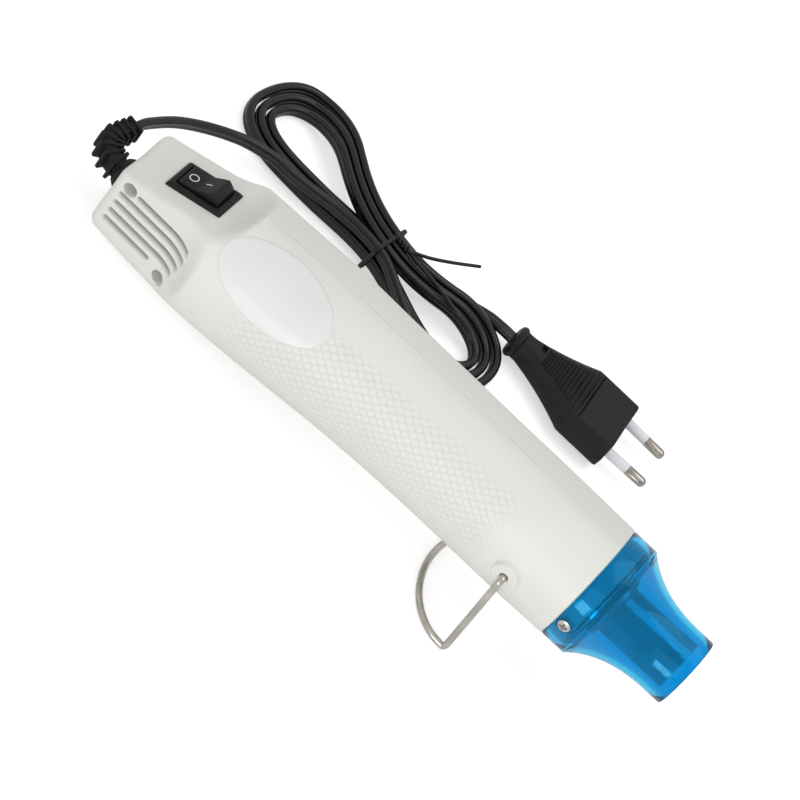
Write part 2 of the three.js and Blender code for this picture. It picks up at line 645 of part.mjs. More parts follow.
function armature() {
  let body = ring(ARMATURE.rear, ARMATURE.front, shaftBore, ARMATURE.radius);
  for (let i = 0; i < ARMATURE.slots; i += 1) {
    const slot = box(
      ARMATURE.rear - CUT, ARMATURE.front + CUT, -ARMATURE.slotWidth / 2, ARMATURE.slotWidth / 2,
      ARMATURE.radius - ARMATURE.slotDepth, ARMATURE.radius + CUT,
    );
    const turn = new THREE.Matrix4().makeRotationX((i / ARMATURE.slots) * 2 * Math.PI);
    body = body.subtract(placed(slot, turn));
  }
  return body;
}
piece('motor_armature', armature(), COPPER, tool);

function fan() {
  const front = FAN.rear + FAN.length;
  let body = rod(FAN.rear, front, FAN.hub);
  for (let i = 0; i < FAN.blades; i += 1) {
    const blade = new THREE.BoxGeometry(FAN.bladeLength, FAN.bladeThick, FAN.tip - FAN.root);
    blade.translate(0, 0, (FAN.tip + FAN.root) / 2);
    blade.rotateZ(FAN.twist);
    blade.rotateX((i / FAN.blades) * 2 * Math.PI);
    blade.translate(FAN.rear + FAN.length / 2, 0, 0);
    body = body.add(solid(blade));
  }
  return body.subtract(rod(FAN.rear - CUT, front + CUT, shaftBore, SIDES.small));
}
piece('fan_impeller', fan(), BLACK, tool);

function motorMount() {
  const end = MOTOR_MOUNT.x + MOTOR_MOUNT.thick;
  let body = ring(MOTOR_MOUNT.x, end, MOTOR.radius + GAP, BORE_RADIUS - GAP, HOUSING_SEGMENTS);
  for (let i = 0; i < MOTOR_MOUNT.windows; i += 1) {
    const angle = (i / MOTOR_MOUNT.windows) * 2 * Math.PI;
    const window = rod(MOTOR_MOUNT.x - CUT, end + CUT, MOTOR_MOUNT.windowRadius, SIDES.small);
    const place = new THREE.Matrix4().makeTranslation(
      0,
      MOTOR_MOUNT.windowCircle * Math.cos(angle),
      MOTOR_MOUNT.windowCircle * Math.sin(angle),
    );
    body = body.subtract(placed(window, place));
  }
  return body;
}
piece('motor_mount', motorMount(), BLACK, tool);

const boardFront = MOTOR.rear - GAP;
const boardRear = boardFront - BOARD.thick;
piece('rectifier_board', ring(boardRear, boardFront, BOARD.shaftHole, BOARD.radius), BOARD_GREEN, tool);
[[1, 1], [1, -1], [-1, 1], [-1, -1]].forEach(([sideY, sideZ], i) => {
  const y = sideY * DIODE.spreadY;
  const x = boardRear - GAP - DIODE.radius;
  const z = sideZ * DIODE.spreadZ;
  const body = crossRod(x, y - DIODE.length / 2, y + DIODE.length / 2, z, DIODE.radius, SIDES.tiny);
  piece(`rectifier_diode_${i + 1}`, body, BLACK, tool);
});

// Rocker switch, snapped into the sloped top
const switchGroup = new THREE.Group();
switchGroup.applyMatrix4(switchFrame);
tool.add(switchGroup);
const bezelTop = GAP + BEZEL.height;
const rockerPivot = bezelTop - ROCKER_PIVOT_DROP;
function switchFrameBody() {
  const half = (size) => size / 2;
  const bezel = box(
    -half(BEZEL.length), half(BEZEL.length), -half(BEZEL.width), half(BEZEL.width), GAP, bezelTop,
  );
  const body = box(
    -half(SWITCH_BODY.length), half(SWITCH_BODY.length),
    -half(SWITCH_BODY.width), half(SWITCH_BODY.width), -SWITCH_BODY.depth, bezelTop - BEZEL.height / 2,
  );
  const well = box(
    -half(SWITCH_WELL.length), half(SWITCH_WELL.length),
    -half(SWITCH_WELL.width), half(SWITCH_WELL.width), bezelTop - SWITCH_WELL.depth, bezelTop + CUT,
  );
  let frame = bezel.add(body).subtract(well);
  [-1, 1].forEach((side) => {
    const x = side * half(TERMINAL.spread);
    frame = frame.subtract(box(
      x - half(TERMINAL.thick) - GAP, x + half(TERMINAL.thick) + GAP,
      -half(TERMINAL.width) - GAP, half(TERMINAL.width) + GAP,
      -SWITCH_BODY.depth - CUT, -SWITCH_BODY.depth + TERMINAL.seat + GAP,
    ));
  });
  return frame;
}
piece('switch_frame', switchFrameBody(), BLACK, switchGroup);

const rockerShape = new THREE.Shape();
const rockerHalf = ROCKER.length / 2;
rockerShape.moveTo(-rockerHalf, ROCKER.end);
rockerShape.lineTo(-rockerHalf, -ROCKER.skirt);
rockerShape.lineTo(-ROCKER.keelLength / 2, -ROCKER.keel);
rockerShape.lineTo(ROCKER.keelLength / 2, -ROCKER.keel);
rockerShape.lineTo(rockerHalf, -ROCKER.skirt);
rockerShape.lineTo(rockerHalf, ROCKER.end);
rockerShape.quadraticCurveTo(0, 2 * ROCKER.middle - ROCKER.end, -rockerHalf, ROCKER.end);
const rockerOptions = { depth: ROCKER.width, bevelEnabled: false, curveSegments: CURVE_STEPS };
const rockerGeometry = new THREE.ExtrudeGeometry(rockerShape, rockerOptions);
rockerGeometry.rotateX(Math.PI / 2);
rockerGeometry.translate(0, ROCKER.width / 2, 0);
const rocker = piece('switch_rocker', solid(rockerGeometry), BLACK, switchGroup);
rocker.position.z = rockerPivot;
rocker.rotation.y = -ROCKER_TILT;

['line', 'load'].forEach((name) => {
  const x = (name === 'line' ? -1 : 1) * (TERMINAL.spread / 2);
  const top = -SWITCH_BODY.depth + TERMINAL.seat;
  piece(`switch_terminal_${name}`, box(
    x - TERMINAL.thick / 2, x + TERMINAL.thick / 2,
    -TERMINAL.width / 2, TERMINAL.width / 2, top - TERMINAL.length, top,
  ), BRASS, switchGroup);
});

// How the tool stands: on the rear face's lower edge and on the wire foot
tool.rotation.y = -PITCH;
tool.updateMatrixWorld(true);
const settled = new THREE.Box3().setFromObject(tool, true);
tool.position.z -= settled.min.z;
tool.position.x -= (settled.min.x + settled.max.x) / 2;
tool.updateMatrixWorld(true);

// Wire stand: both ends turn in the bosses, the legs lean forward and a half round foot lies flat
const pivot = new THREE.Vector3(pivotX, 0, 0).applyMatrix4(tool.matrixWorld);
function standPoints() {
  const legY = BOSS.reach + WIRE_BEND;
  const down = new THREE.Vector3(Math.sin(LEG_LEAN), 0, -Math.cos(LEG_LEAN));
  const legLength = (pivot.z - WIRE_RADIUS) / Math.cos(LEG_LEAN);
  const cornerAt = new THREE.Vector3(0, -legY, 0).addScaledVector(down, legLength);
  const out = new THREE.Vector3(0, -1, 0);
  const rearward = new THREE.Vector3(-1, 0, 0);
  const half = [new THREE.Vector3(0, -WIRE_TIP, 0)];
  // A bend between two straight directions, by its corner and its reach along both
  const bend = (corner, into, outOf, reach) => {
    const curve = new THREE.QuadraticBezierCurve3(
      corner.clone().addScaledVector(into, -reach),
      corner,
      corner.clone().addScaledVector(outOf, reach),
    );
    half.push(...curve.getPoints(WIRE_BEND_STEPS));
  };
  bend(new THREE.Vector3(0, -legY, 0), out, down, WIRE_BEND);
  bend(cornerAt, down, rearward, FOOT_BEND);
  for (let i = 1; i <= FOOT_STEPS; i += 1) {
    const angle = (i / FOOT_STEPS) * (Math.PI / 2);
    const along = FOOT_BEND + (FOOT_DEPTH - FOOT_BEND) * Math.sin(angle);
    half.push(new THREE.Vector3(cornerAt.x - along, -legY * Math.cos(angle), cornerAt.z));
  }
  const mirrored = half.slice(0, -1).reverse().map((p) => new THREE.Vector3(p.x, -p.y, p.z));
  return half.concat(mirrored);
}

function wireStand() {
  const points = standPoints();
  // The section turns with the wire, so each ring keeps its neighbour's direction
  const rings = [];
  let across = new THREE.Vector3(1, 0, 0);
  points.forEach((point, i) => {
    const before = points[Math.max(i - 1, 0)];
    const after = points[Math.min(i + 1, points.length - 1)];
    const into = point.clone().sub(before).normalize();
    const outOf = after.clone().sub(point).normalize();
    const along = into.add(outOf).normalize();
    across = across.clone().addScaledVector(along, -across.dot(along)).normalize();
    const rise = along.clone().cross(across);
    const section = [];
    for (let j = 0; j < WIRE_SIDES; j += 1) {
      const angle = ((j + 0.5) / WIRE_SIDES) * 2 * Math.PI;
      section.push(point.clone()
        .addScaledVector(across, WIRE_RADIUS * Math.cos(angle))
        .addScaledVector(rise, WIRE_RADIUS * Math.sin(angle)));
    }
    rings.push(section);
  });
  return loft(rings);
}
const standGroup = new THREE.Group();
standGroup.position.copy(pivot);
root.add(standGroup);
piece('wire_stand', wireStand(), STEEL, standGroup);

// Strain relief boot: a flanged root in the rear wall, then a ribbed tail that turns to the far side
function bootPath() {
  const points = [];
  const arcCentre = new THREE.Vector3(-GAP - BOOT.flangeThick - BOOT.lead, BOOT.bend, -BOOT.drop);
  points.push(new THREE.Vector3(-GAP - BOOT.flangeThick / 2, 0, -BOOT.drop));
  for (let i = 0; i <= BOOT.bendSteps; i += 1) {
    const angle = (i / BOOT.bendSteps) * BOOT.turn;
    const onBend = new THREE.Vector3(-BOOT.bend * Math.sin(angle), -BOOT.bend * Math.cos(angle), 0);
    points.push(arcCentre.clone().add(onBend));
  }
  const end = points[points.length - 1];
  const onward = new THREE.Vector3(-Math.cos(BOOT.turn), Math.sin(BOOT.turn), 0);
  for (let i = 1; i <= BOOT.ribs; i += 1) {
    points.push(end.clone().addScaledVector(onward, (BOOT.tail * i) / BOOT.ribs));
  }
  return points;
}
const bootPoints = bootPath();
function bootBody() {
  const down = new THREE.Matrix4().makeTranslation(0, 0, -BOOT.drop);
  const rootBody = turned([
    [-GAP - BOOT.flangeThick, 0],
    [-GAP - BOOT.flangeThick, BOOT.flange],
    [-GAP, BOOT.flange],
    [-GAP, BOOT.neck],
    [HOUSING_WALL + GAP, BOOT.neck],
    [HOUSING_WALL + GAP, BOOT.innerFlange],
    [HOUSING_WALL + GAP + BOOT.flangeThick, BOOT.innerFlange],
    [HOUSING_WALL + GAP + BOOT.flangeThick, 0],
  ], SIDES.plain);
  const curve = new THREE.CatmullRomCurve3(bootPoints);
  const rings = BOOT.ribs * BOOT.ringsPerRib;
  const points = curve.getSpacedPoints(rings);
  const tail = swept(points, (t) => {
    const inGroove = Math.round(t * rings) % BOOT.ringsPerRib === BOOT.ringsPerRib - 1;
    const groove = inGroove ? BOOT.ribDepth : 0;
    const radius = THREE.MathUtils.lerp(BOOT.rootRadius, BOOT.tipRadius, t) - groove;
    return [radius, radius];
  }, SIDES.small);
  return placed(rootBody, down).add(tail);
}
piece('strain_relief', bootBody(), RUBBER, tool);

// Cord: a lead from the boot, the hank and a tail into the plug
const halfThick = CORD.thick / 2;
const halfWidth = CORD.width / 2;
// The section's first half size lies upright on the lead, which starts mostly along Y, and level on the
// tail, which starts mostly along X
function flatCord(points, name, steps, halfSizes) {
  const outline = new THREE.Shape();
  outline.absellipse(0, 0, ...halfSizes, 0, 2 * Math.PI);
  const path = new THREE.CatmullRomCurve3(points, false, 'centripetal');
  const options = { steps, extrudePath: path, curveSegments: CORD.sides / 2, bevelEnabled: false };
  piece(name, solid(new THREE.ExtrudeGeometry(outline, options)), RUBBER, root);
}

function hankPoint(turnCount) {
  const angle = HANK.start + turnCount * 2 * Math.PI;
  const atRear = Math.cos(angle) < 0;
  const onFarRun = Math.sin(angle) > 0;
  const length = (atRear ? HANK.rearLength : HANK.frontLength) - HANK.pitchEnds * turnCount;
  const waist = HANK.waist - HANK.pitchWaist * turnCount;
  let swell = HANK.swell - HANK.pitchNear * turnCount;
  if (onFarRun) swell = HANK.swell - HANK.pitchFront * turnCount;
  if (onFarRun && atRear) swell = HANK.rearSwell - HANK.pitchRear * turnCount;
  const along = length * Math.cos(angle);
  const across = Math.sin(angle) * (waist + swell * Math.cos(angle) ** 2);
  const climb = smooth(along, HANK.humpStart - HANK.humpRamp, HANK.humpStart);
  const descent = smooth(along, HANK.humpEnd - HANK.humpRamp, HANK.humpEnd);
  const closing = smooth(along, HANK.drawStart - HANK.drawStartRamp, HANK.drawStart);
  const opening = smooth(along, HANK.drawEnd - HANK.drawEndRamp, HANK.drawEnd);
  const raised = onFarRun ? HANK.hump * climb * (1 - descent) : 0;
  const drawn = onFarRun ? HANK.drawIn * closing * (1 - opening) : 0;
  const lift = HANK.lift * (1 - smooth(Math.abs(along), 0, HANK.liftReach));
  const rides = turnCount < HANK.rideTurns ? 1 : 0;
  const aside = rides * HANK.pitchWaist * smooth(along, ...HANK.asideIn) * (1 - smooth(along, ...HANK.asideOut));
  const ridden = rides * HANK.ride * (1 - smooth(along, ...HANK.dropOut));
  return new THREE.Vector3(along, across - drawn + aside, halfWidth + raised + ridden + lift);
}

function hankToRoot(point) {
  return point.clone()
    .applyAxisAngle(new THREE.Vector3(0, 0, 1), HANK.turn)
    .add(new THREE.Vector3(HANK.x, HANK.y, 0));
}

const hankSteps = Math.round(HANK.turns * HANK.stepsPerTurn);
const hankLine = [];
for (let i = 0; i <= hankSteps; i += 1) hankLine.push(hankToRoot(hankPoint((HANK.turns * i) / hankSteps)));

function hankGap() {
  const fine = [];
  const count = hankSteps * HANK.gapSteps;
  for (let i = 0; i <= count; i += 1) fine.push(hankPoint((HANK.turns * i) / count));
  let least = Infinity;
  const skip = Math.round((count / HANK.turns) * HANK.gapTurn);
  for (let i = 0; i < fine.length; i += 1) {
    for (let j = i + skip; j < fine.length; j += 1) {
      const away = fine[i].clone().sub(fine[j]);
      const flat = Math.hypot(away.x, away.y) - CORD.thick;
      const upright = Math.abs(away.z) - CORD.width;
      least = Math.min(least, Math.max(flat, upright));
    }
  }
  return least;
}
console.log(`cord hank: least gap to itself ${hankGap().toFixed(2)} mm`);
piece('cord_hank', swept(hankLine, () => [halfThick, halfWidth], HANK.sides), RUBBER, root);

const bootTip = bootPoints[bootPoints.length - 1].clone().applyMatrix4(tool.matrixWorld);
const bootEnd = bootPoints[bootPoints.length - 1].clone().sub(bootPoints[bootPoints.length - 2])
  .transformDirection(tool.matrixWorld);
const leadStart = bootTip.clone().addScaledVector(bootEnd, GAP);
const hankFirst = hankLine[0];
const hankEntry = hankLine[1].clone().sub(hankLine[0]).normalize();
const leadEnd = hankFirst.clone().addScaledVector(hankEntry, -GAP);
flatCord([
  leadStart,
  leadStart.clone().addScaledVector(bootEnd, CORD.width),
  ...LEAD_POINTS.map((p) => new THREE.Vector3(...p)),
  leadEnd.clone().addScaledVector(hankEntry, -CORD.width),
  leadEnd,
], 'cord_lead', CORD.leadSteps, [halfWidth, halfThick]);

// Plug: a round neck that widens to a flat head, with two sleeved pins
const plugGroup = new THREE.Group();
plugGroup.position.set(PLUG.x, PLUG.y, PLUG.halfHeight);
plugGroup.rotation.z = PLUG.turn;
root.add(plugGroup);
plugGroup.updateMatrixWorld(true);
const plugLength = PLUG.head + PLUG.taper + PLUG.neck + PLUG.collar;

// Section of the plug: from round at the neck to six sided at the head
function plugSection(x, width, height, flatness) {
  const { round, flat } = PLUG_CORNERS;
  const [wide, tall] = round.map((from, i) => THREE.MathUtils.lerp(from, flat[i], flatness));
  const corners = [
    [1, -tall], [1, tall], [wide, 1], [-wide, 1], [-1, tall], [-1, -tall], [-wide, -1], [wide, -1],
  ];
  return corners.map(([y, z]) => new THREE.Vector3(x, y * width, z * height));
}

function plugBody() {
  const headRear = -PLUG.head;
  const neckFront = headRear - PLUG.taper;
  const collarFront = neckFront - PLUG.neck;
  const middle = (headRear + neckFront) / 2;
  const between = (PLUG.halfWidth + PLUG.neckRadius) / 2 - PLUG.drawIn;
  let body = loft([
    plugSection(-plugLength, PLUG.collarRadius, PLUG.collarRadius, 0),
    plugSection(collarFront, PLUG.collarRadius, PLUG.collarRadius, 0),
    plugSection(collarFront + GAP, PLUG.neckRadius, PLUG.neckRadius, 0),
    plugSection(neckFront, PLUG.neckRadius, PLUG.neckRadius, 0),
    plugSection(middle, between, (PLUG.halfHeight + PLUG.neckRadius) / 2, 0.5),
    plugSection(headRear, PLUG.halfWidth, PLUG.halfHeight, 1),
    plugSection(0, PLUG.halfWidth, PLUG.halfHeight, 1),
  ]);
  [-1, 1].forEach((side) => {
    const hole = rod(-PIN.root - GAP, CUT, PIN.core + GAP, SIDES.small)
      .add(rod(-PIN.seat, CUT, PIN.radius + GAP, SIDES.plain));
    body = body.subtract(placed(hole, new THREE.Matrix4().makeTranslation(0, (side * PIN.spread) / 2, 0)
      .multiply(new THREE.Matrix4().makeRotationZ(-side * PIN.toeIn))));
  });
  return body;
}
piece('plug_body', plugBody(), BLACK, plugGroup);

[-1, 1].forEach((side, i) => {
  const pinGroup = new THREE.Group();
  pinGroup.position.y = (side * PIN.spread) / 2;
  pinGroup.rotation.z = -side * PIN.toeIn;
  plugGroup.add(pinGroup);
  const bareStart = GAP + PIN.sleeve + GAP;
  piece(`plug_pin_${i + 1}`, turned([
    [-PIN.root, 0],
    [-PIN.root, PIN.core],
    [bareStart, PIN.core],
    [bareStart, PIN.radius],
    [PIN.length - PIN.dome, PIN.radius],
    [PIN.length, PIN.tip],
    [PIN.length, 0],
  ], SIDES.plain), NICKEL, pinGroup);
  const sleeve = ring(GAP - PIN.seat, GAP + PIN.sleeve, PIN.core + GAP, PIN.radius, SIDES.plain);
  piece(`plug_pin_sleeve_${i + 1}`, sleeve, GREY_SLEEVE, pinGroup);
});

const plugEntry = new THREE.Vector3(-plugLength - GAP, 0, 0).applyMatrix4(plugGroup.matrixWorld);
const plugAlong = new THREE.Vector3(1, 0, 0).applyAxisAngle(new THREE.Vector3(0, 0, 1), PLUG.turn);
const hankLast = hankLine[hankLine.length - 1];
const hankExit = hankLast.clone().sub(hankLine[hankLine.length - 2]).normalize();
const tailStart = hankLast.clone().addScaledVector(hankExit, GAP);
flatCord([
  tailStart,
  tailStart.clone().addScaledVector(hankExit, CORD.width),
  ...TAIL_POINTS.map((p) => new THREE.Vector3(...p)),
  plugEntry.clone().addScaledVector(plugAlong, -CORD.width),
  plugEntry,
], 'cord_tail', CORD.tailSteps, [halfWidth, halfThick]);

// Twist tie: a loop of coated wire round the waist, with a twisted knot and its two ends left long
function tieBody() {
  const clear = halfThick + GAP + TIE.wire;
  const farSide = Math.PI / 2 + 2 * Math.PI;
  const firstFarRun = (farSide - HANK.start) / (2 * Math.PI);
  const nearEdge = HANK.pitchWaist - HANK.waist - clear;
  const farEdge = HANK.waist - HANK.pitchWaist * firstFarRun - HANK.drawIn + clear;
  const top = HANK.lift + CORD.width + HANK.hump + GAP + TIE.wire;
  const at = (along, across, height) => hankToRoot(new THREE.Vector3(TIE.along + along, across, height));
  const corners = [
    at(0, nearEdge, TIE.wire), at(0, farEdge, TIE.wire), at(0, farEdge, top), at(0, nearEdge, top),
  ];
  const points = [];
  corners.forEach((corner, i) => {
    const before = corners[(i + corners.length - 1) % corners.length];
    const after = corners[(i + 1) % corners.length];
    const bend = new THREE.QuadraticBezierCurve3(
      corner.clone().add(before.clone().sub(corner).setLength(TIE.bend)),
      corner,
      corner.clone().add(after.clone().sub(corner).setLength(TIE.bend)),
    );
    points.push(...bend.getPoints(TIE.bendSteps));
  });
  const alongHank = new THREE.Vector3(1, 0, 0).applyAxisAngle(new THREE.Vector3(0, 0, 1), HANK.turn);
  const wire = () => [TIE.wire, TIE.wire];
  const knotLine = [at(-TIE.wire, farEdge, top), at(TIE.knotLength, farEdge, top)];
  let body = swept(points, wire, TIE.sides, true, alongHank)
    .add(swept(knotLine, () => [TIE.knot, TIE.knot], TIE.sides));
  TIE.ends.forEach((end) => {
    const line = end.map(([along, across, rise]) => at(along, farEdge + across, top + rise));
    body = body.add(swept(line, wire, TIE.sides));
  });
  return body;
}
piece('cord_tie', tieBody(), RUBBER, root);

export default root;
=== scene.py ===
import math

import bmesh
import bpy
import numpy as np
from mathutils import Matrix, Vector


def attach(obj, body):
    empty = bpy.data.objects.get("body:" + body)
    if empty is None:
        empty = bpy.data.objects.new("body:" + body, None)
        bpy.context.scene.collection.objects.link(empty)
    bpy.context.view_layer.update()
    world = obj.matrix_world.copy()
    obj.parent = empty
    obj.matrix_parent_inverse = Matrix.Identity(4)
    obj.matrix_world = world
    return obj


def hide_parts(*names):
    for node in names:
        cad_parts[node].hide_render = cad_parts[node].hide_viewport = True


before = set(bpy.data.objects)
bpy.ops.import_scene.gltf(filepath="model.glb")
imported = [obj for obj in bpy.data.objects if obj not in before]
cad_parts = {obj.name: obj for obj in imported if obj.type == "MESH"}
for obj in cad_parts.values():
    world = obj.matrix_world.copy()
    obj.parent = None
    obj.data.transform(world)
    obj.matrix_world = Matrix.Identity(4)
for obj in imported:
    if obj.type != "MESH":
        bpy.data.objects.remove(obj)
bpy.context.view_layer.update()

scene = bpy.context.scene
scene.view_settings.view_transform = "Standard"

# Stage: the tool lies on a white table under wide soft lamps, seen from the near side and well above.
# The picture is turned, so the tool runs from the upper left to the lower right.
LOOK_AT = Vector((-0.00705, 0.0, 0.0395))
LOOK_FROM = 1.1332
AZIMUTH, ELEVATION, ROLL = (math.radians(a) for a in (-3.01, 44.98, 48.78))
SENSOR_WIDTH, LENS, CLIP_START = 36.0, 151.9, 0.05
LAMPS = (("lamp_above", (0.3, 0.25, 1.3), 1.0, 4.1), ("lamp_near", (0.1, -1.25, 0.75), 0.9, 1.5),
         ("lamp_low", (0.1, -1.3, 0.12), 0.6, 7.2))
LAMP_AIM = Vector((0, 0.02, 0.03))
ROOM_LIGHT, MIRROR_SHARE = 0.63, 0.25
TABLE_HALF, TABLE_DROP = 6.0, -0.0004
TABLE_GREY, TABLE_GLOW = (0.8, 0.8, 0.8, 1), 0.55
CORNERS = ((-1, -1), (1, -1), (1, 1), (-1, 1))


def new_object(name, data):
    """An object in the scene that holds a camera, a lamp or a mesh."""
    holder = bpy.data.objects.new(name, data)
    scene.collection.objects.link(holder)
    return holder


across_view = Vector((math.cos(AZIMUTH), math.sin(AZIMUTH), 0))
into_view = Vector((
    -math.sin(AZIMUTH) * math.cos(ELEVATION), math.cos(AZIMUTH) * math.cos(ELEVATION), -math.sin(ELEVATION)))
up_view = across_view.cross(into_view)
picture_right = across_view * math.cos(ROLL) + up_view * math.sin(ROLL)
picture_up = up_view * math.cos(ROLL) - across_view * math.sin(ROLL)
camera_stand = Matrix((picture_right, picture_up, -into_view)).transposed().to_4x4()
camera_stand.translation = LOOK_AT - into_view * LOOK_FROM
camera = new_object("camera", bpy.data.cameras.new("camera"))
camera.data.sensor_width = SENSOR_WIDTH
camera.data.lens = LENS
camera.data.clip_start = CLIP_START
camera.matrix_world = camera_stand
scene.camera = camera

for name, place, size, power in LAMPS:
    lamp = new_object(name, bpy.data.lights.new(name, "AREA"))
    lamp.data.shape = "SQUARE"
    lamp.data.size = size
    lamp.data.energy = power
    lamp.location = place
    lamp.rotation_euler = (LAMP_AIM - Vector(place)).to_track_quat("-Z", "Y").to_euler()


def feed(tree, node, **values):
    """Gives a node's inputs, by number (i0) or by name with _ for a space, values or other nodes' results."""
    for key, value in values.items():
        socket = node.inputs[int(key[1:]) if key[1:].isdigit() else key.replace("_", " ")]
        if isinstance(value, bpy.types.NodeSocket):
            tree.links.new(value, socket)
        else:
            socket.default_value = value
    return node


def put(tree, kind, settings=None, **values):
    """A new node with its settings and its inputs."""
    node = tree.nodes.new(kind)
    for setting, value in (settings or {}).items():
        setattr(node, setting, value)
    return feed(tree, node, **values)


def reckon(tree, operation, *values):
    """The result of one step of arithmetic on numbers or other nodes' results."""
    inputs = {f"i{number}": value for number, value in enumerate(values)}
    return put(tree, "ShaderNodeMath", {"operation": operation}, **inputs).outputs[0]


def seen_directly(tree):
    """1 for what the camera sees itself or through glass, less in a mirror, and 0 for light on the object."""
    path = put(tree, "ShaderNodeLightPath").outputs
    mirrored = reckon(tree, "MULTIPLY", path["Is Glossy Ray"], MIRROR_SHARE)
    direct = reckon(tree, "MAXIMUM", path["Is Camera Ray"], mirrored)
    return reckon(tree, "MAXIMUM", direct, path["Is Transmission Ray"])


world = bpy.data.worlds.new("white_room")
scene.world = world
world.use_nodes = True
room = world.node_tree
room_strength = put(room, "ShaderNodeMapRange", Value=seen_directly(room), To_Min=ROOM_LIGHT, To_Max=1.0)
feed(room, room.nodes["Background"], Color=(1, 1, 1, 1), Strength=room_strength.outputs[0])

floor_mesh = bpy.data.meshes.new("table_top")
floor_mesh.from_pydata([(x * TABLE_HALF, y * TABLE_HALF, TABLE_DROP) for x, y in CORNERS], [], [(0, 1, 2, 3)])
floor = new_object("table_top", floor_mesh)
table_white = bpy.data.materials.new("table_white")
table_white.use_nodes = True
table_tree = table_white.node_tree
table_tree.nodes.remove(table_tree.nodes["Principled BSDF"])
table_matt = put(table_tree, "ShaderNodeBsdfDiffuse", Color=TABLE_GREY)
table_level = reckon(table_tree, "MULTIPLY", seen_directly(table_tree), TABLE_GLOW)
table_glow = put(table_tree, "ShaderNodeEmission", Strength=table_level)
table_sum = put(table_tree, "ShaderNodeAddShader", i0=table_matt.outputs[0], i1=table_glow.outputs[0])
feed(table_tree, table_tree.nodes["Material Output"], Surface=table_sum.outputs[0])
floor_mesh.materials.append(table_white)

# Housing halves: two moulded shells of off-white plastic, matt from the mould, with a faint net of
# diamonds where the hand holds them. They meet in a seam along the top and the underside.
# The rear is scooped: a sloped top for the switch and a flat panel of vent slots on each side.
MM = 0.001
TOOL_LEAN = math.radians(5)
TOOL_REAR = np.array((-126.008, 0.0, 27.1988))
HOUSING_LENGTH = 207.0
HOUSING_WALL = 2.4
BORE = 20.8
ROOM_END = 80.0
NECK_RADIUS, NECK_INNER, NECK_END, NECK_BACK = 20.8, 18.6, 214.0, 204.8
SEAM_HALF = 0.04
REAR_ROUND, RIM_ROUND, NECK_ROUND = 3.6, 0.3, 0.4
STATIONS = np.array((
    (0, 24.4, -2.9), (22, 25.6, -3.5), (42, 26, -3.5), (62, 25.9, -2.7), (82, 25.5, -1.3),
    (104, 24.5, -0.4), (128, 23.9, 0.2), (156, 23.6, 0.2), (184, 23.6, 0), (207, 23.3, 0)))
TOP_SCOOP = (4.7, math.radians(14.6), 35.0, 15.0)
SIDE_SCOOP = (15.2, math.radians(2), 26.0, 17.0)
SCOOP_EDGE = 3.6
NO_FLOOR, NO_ROOF, LEAST_SHARE = 200.0, 400.0, 0.02
VENT_SLOTS = ((10, 35.5, 2.4), (4, 36, -2), (4, 35.5, -6.5), (4, 34.5, -10.9), (4, 25, -15.3))
VENT_HALF = 0.95
VENT_MOUTH = ((-6.0, 0.0), (-0.9, 0.0), (-0.4, 0.14), (0.1, 0.5), (4.0, 0.8))
JOIN_SCREWS = ((6.4, 2.4), (31.5, -17.4))
SCREW_POST, SCREW_HOLE = 3.4, 1.3
STAND_X = 185.0
STAND_HOLE = ((19.8, 1.55), (25.3, 1.55), (25.62, 1.75), (26.6, 1.9))
BOSS_LINE = ((21.5, 1.0), (21.5, 6.2), (23.3, 6.2), (23.6, 5.6), (24.0, 5.25), (24.5, 5.1), (25.2, 5.05),
             (25.45, 4.9), (25.57, 4.65), (25.6, 4.35), (25.6, 1.0))
BOSS_BODY, BOSS_STRAIGHT, BOSS_BLEND = 23.6, 24.9, 1.5
GUARD_SCREW_X = 210.6
GUARD_SCREW_HOLE = ((15, 1.4), (24, 1.4))
SWITCH_X = 24.0
SWITCH_LENGTH, SWITCH_WIDTH, SWITCH_CUT = 19.4, 13.2, 12.0
FACET_HEIGHT = TOP_SCOOP[0] + SWITCH_X * math.tan(TOP_SCOOP[1])
BOOT_DROP = -9.0
BOOT_HOLE = ((-2, 5.0), (5, 5.0))


def leaned(points, angle, place):
    """Points leaned about a line across the tool, then set at a place."""
    p = np.asarray(points, float).reshape(-1, 3)
    cos, sin = math.cos(angle), math.sin(angle)
    return np.column_stack((p[:, 0] * cos - p[:, 2] * sin, p[:, 1], p[:, 0] * sin + p[:, 2] * cos)) + place


def from_tool(points):
    """Points of the tool's own frame, rear face and axis, as points of the table, in millimetres."""
    return leaned(points, TOOL_LEAN, TOOL_REAR)


def from_facet(points):
    """Points square to the sloped top, about the switch's middle, as points of the tool's own frame."""
    return leaned(points, TOP_SCOOP[1], (SWITCH_X, 0, FACET_HEIGHT))


def smooth_line(knots, values):
    """A smooth curve through values at knots."""
    slopes = np.gradient(values, knots)

    def at(x):
        i = np.clip(np.searchsorted(knots, x) - 1, 0, len(knots) - 2)
        step = knots[i + 1] - knots[i]
        t = (x - knots[i]) / step
        ends = (2 * t**3 - 3 * t**2 + 1) * values[i] + (3 * t**2 - 2 * t**3) * values[i + 1]
        return ends + step * ((t**3 - 2 * t**2 + t) * slopes[i] + (t**3 - t**2) * slopes[i + 1])

    return at


body_radius = smooth_line(STATIONS[:, 0], STATIONS[:, 1])
body_rise = smooth_line(STATIONS[:, 0], STATIONS[:, 2])


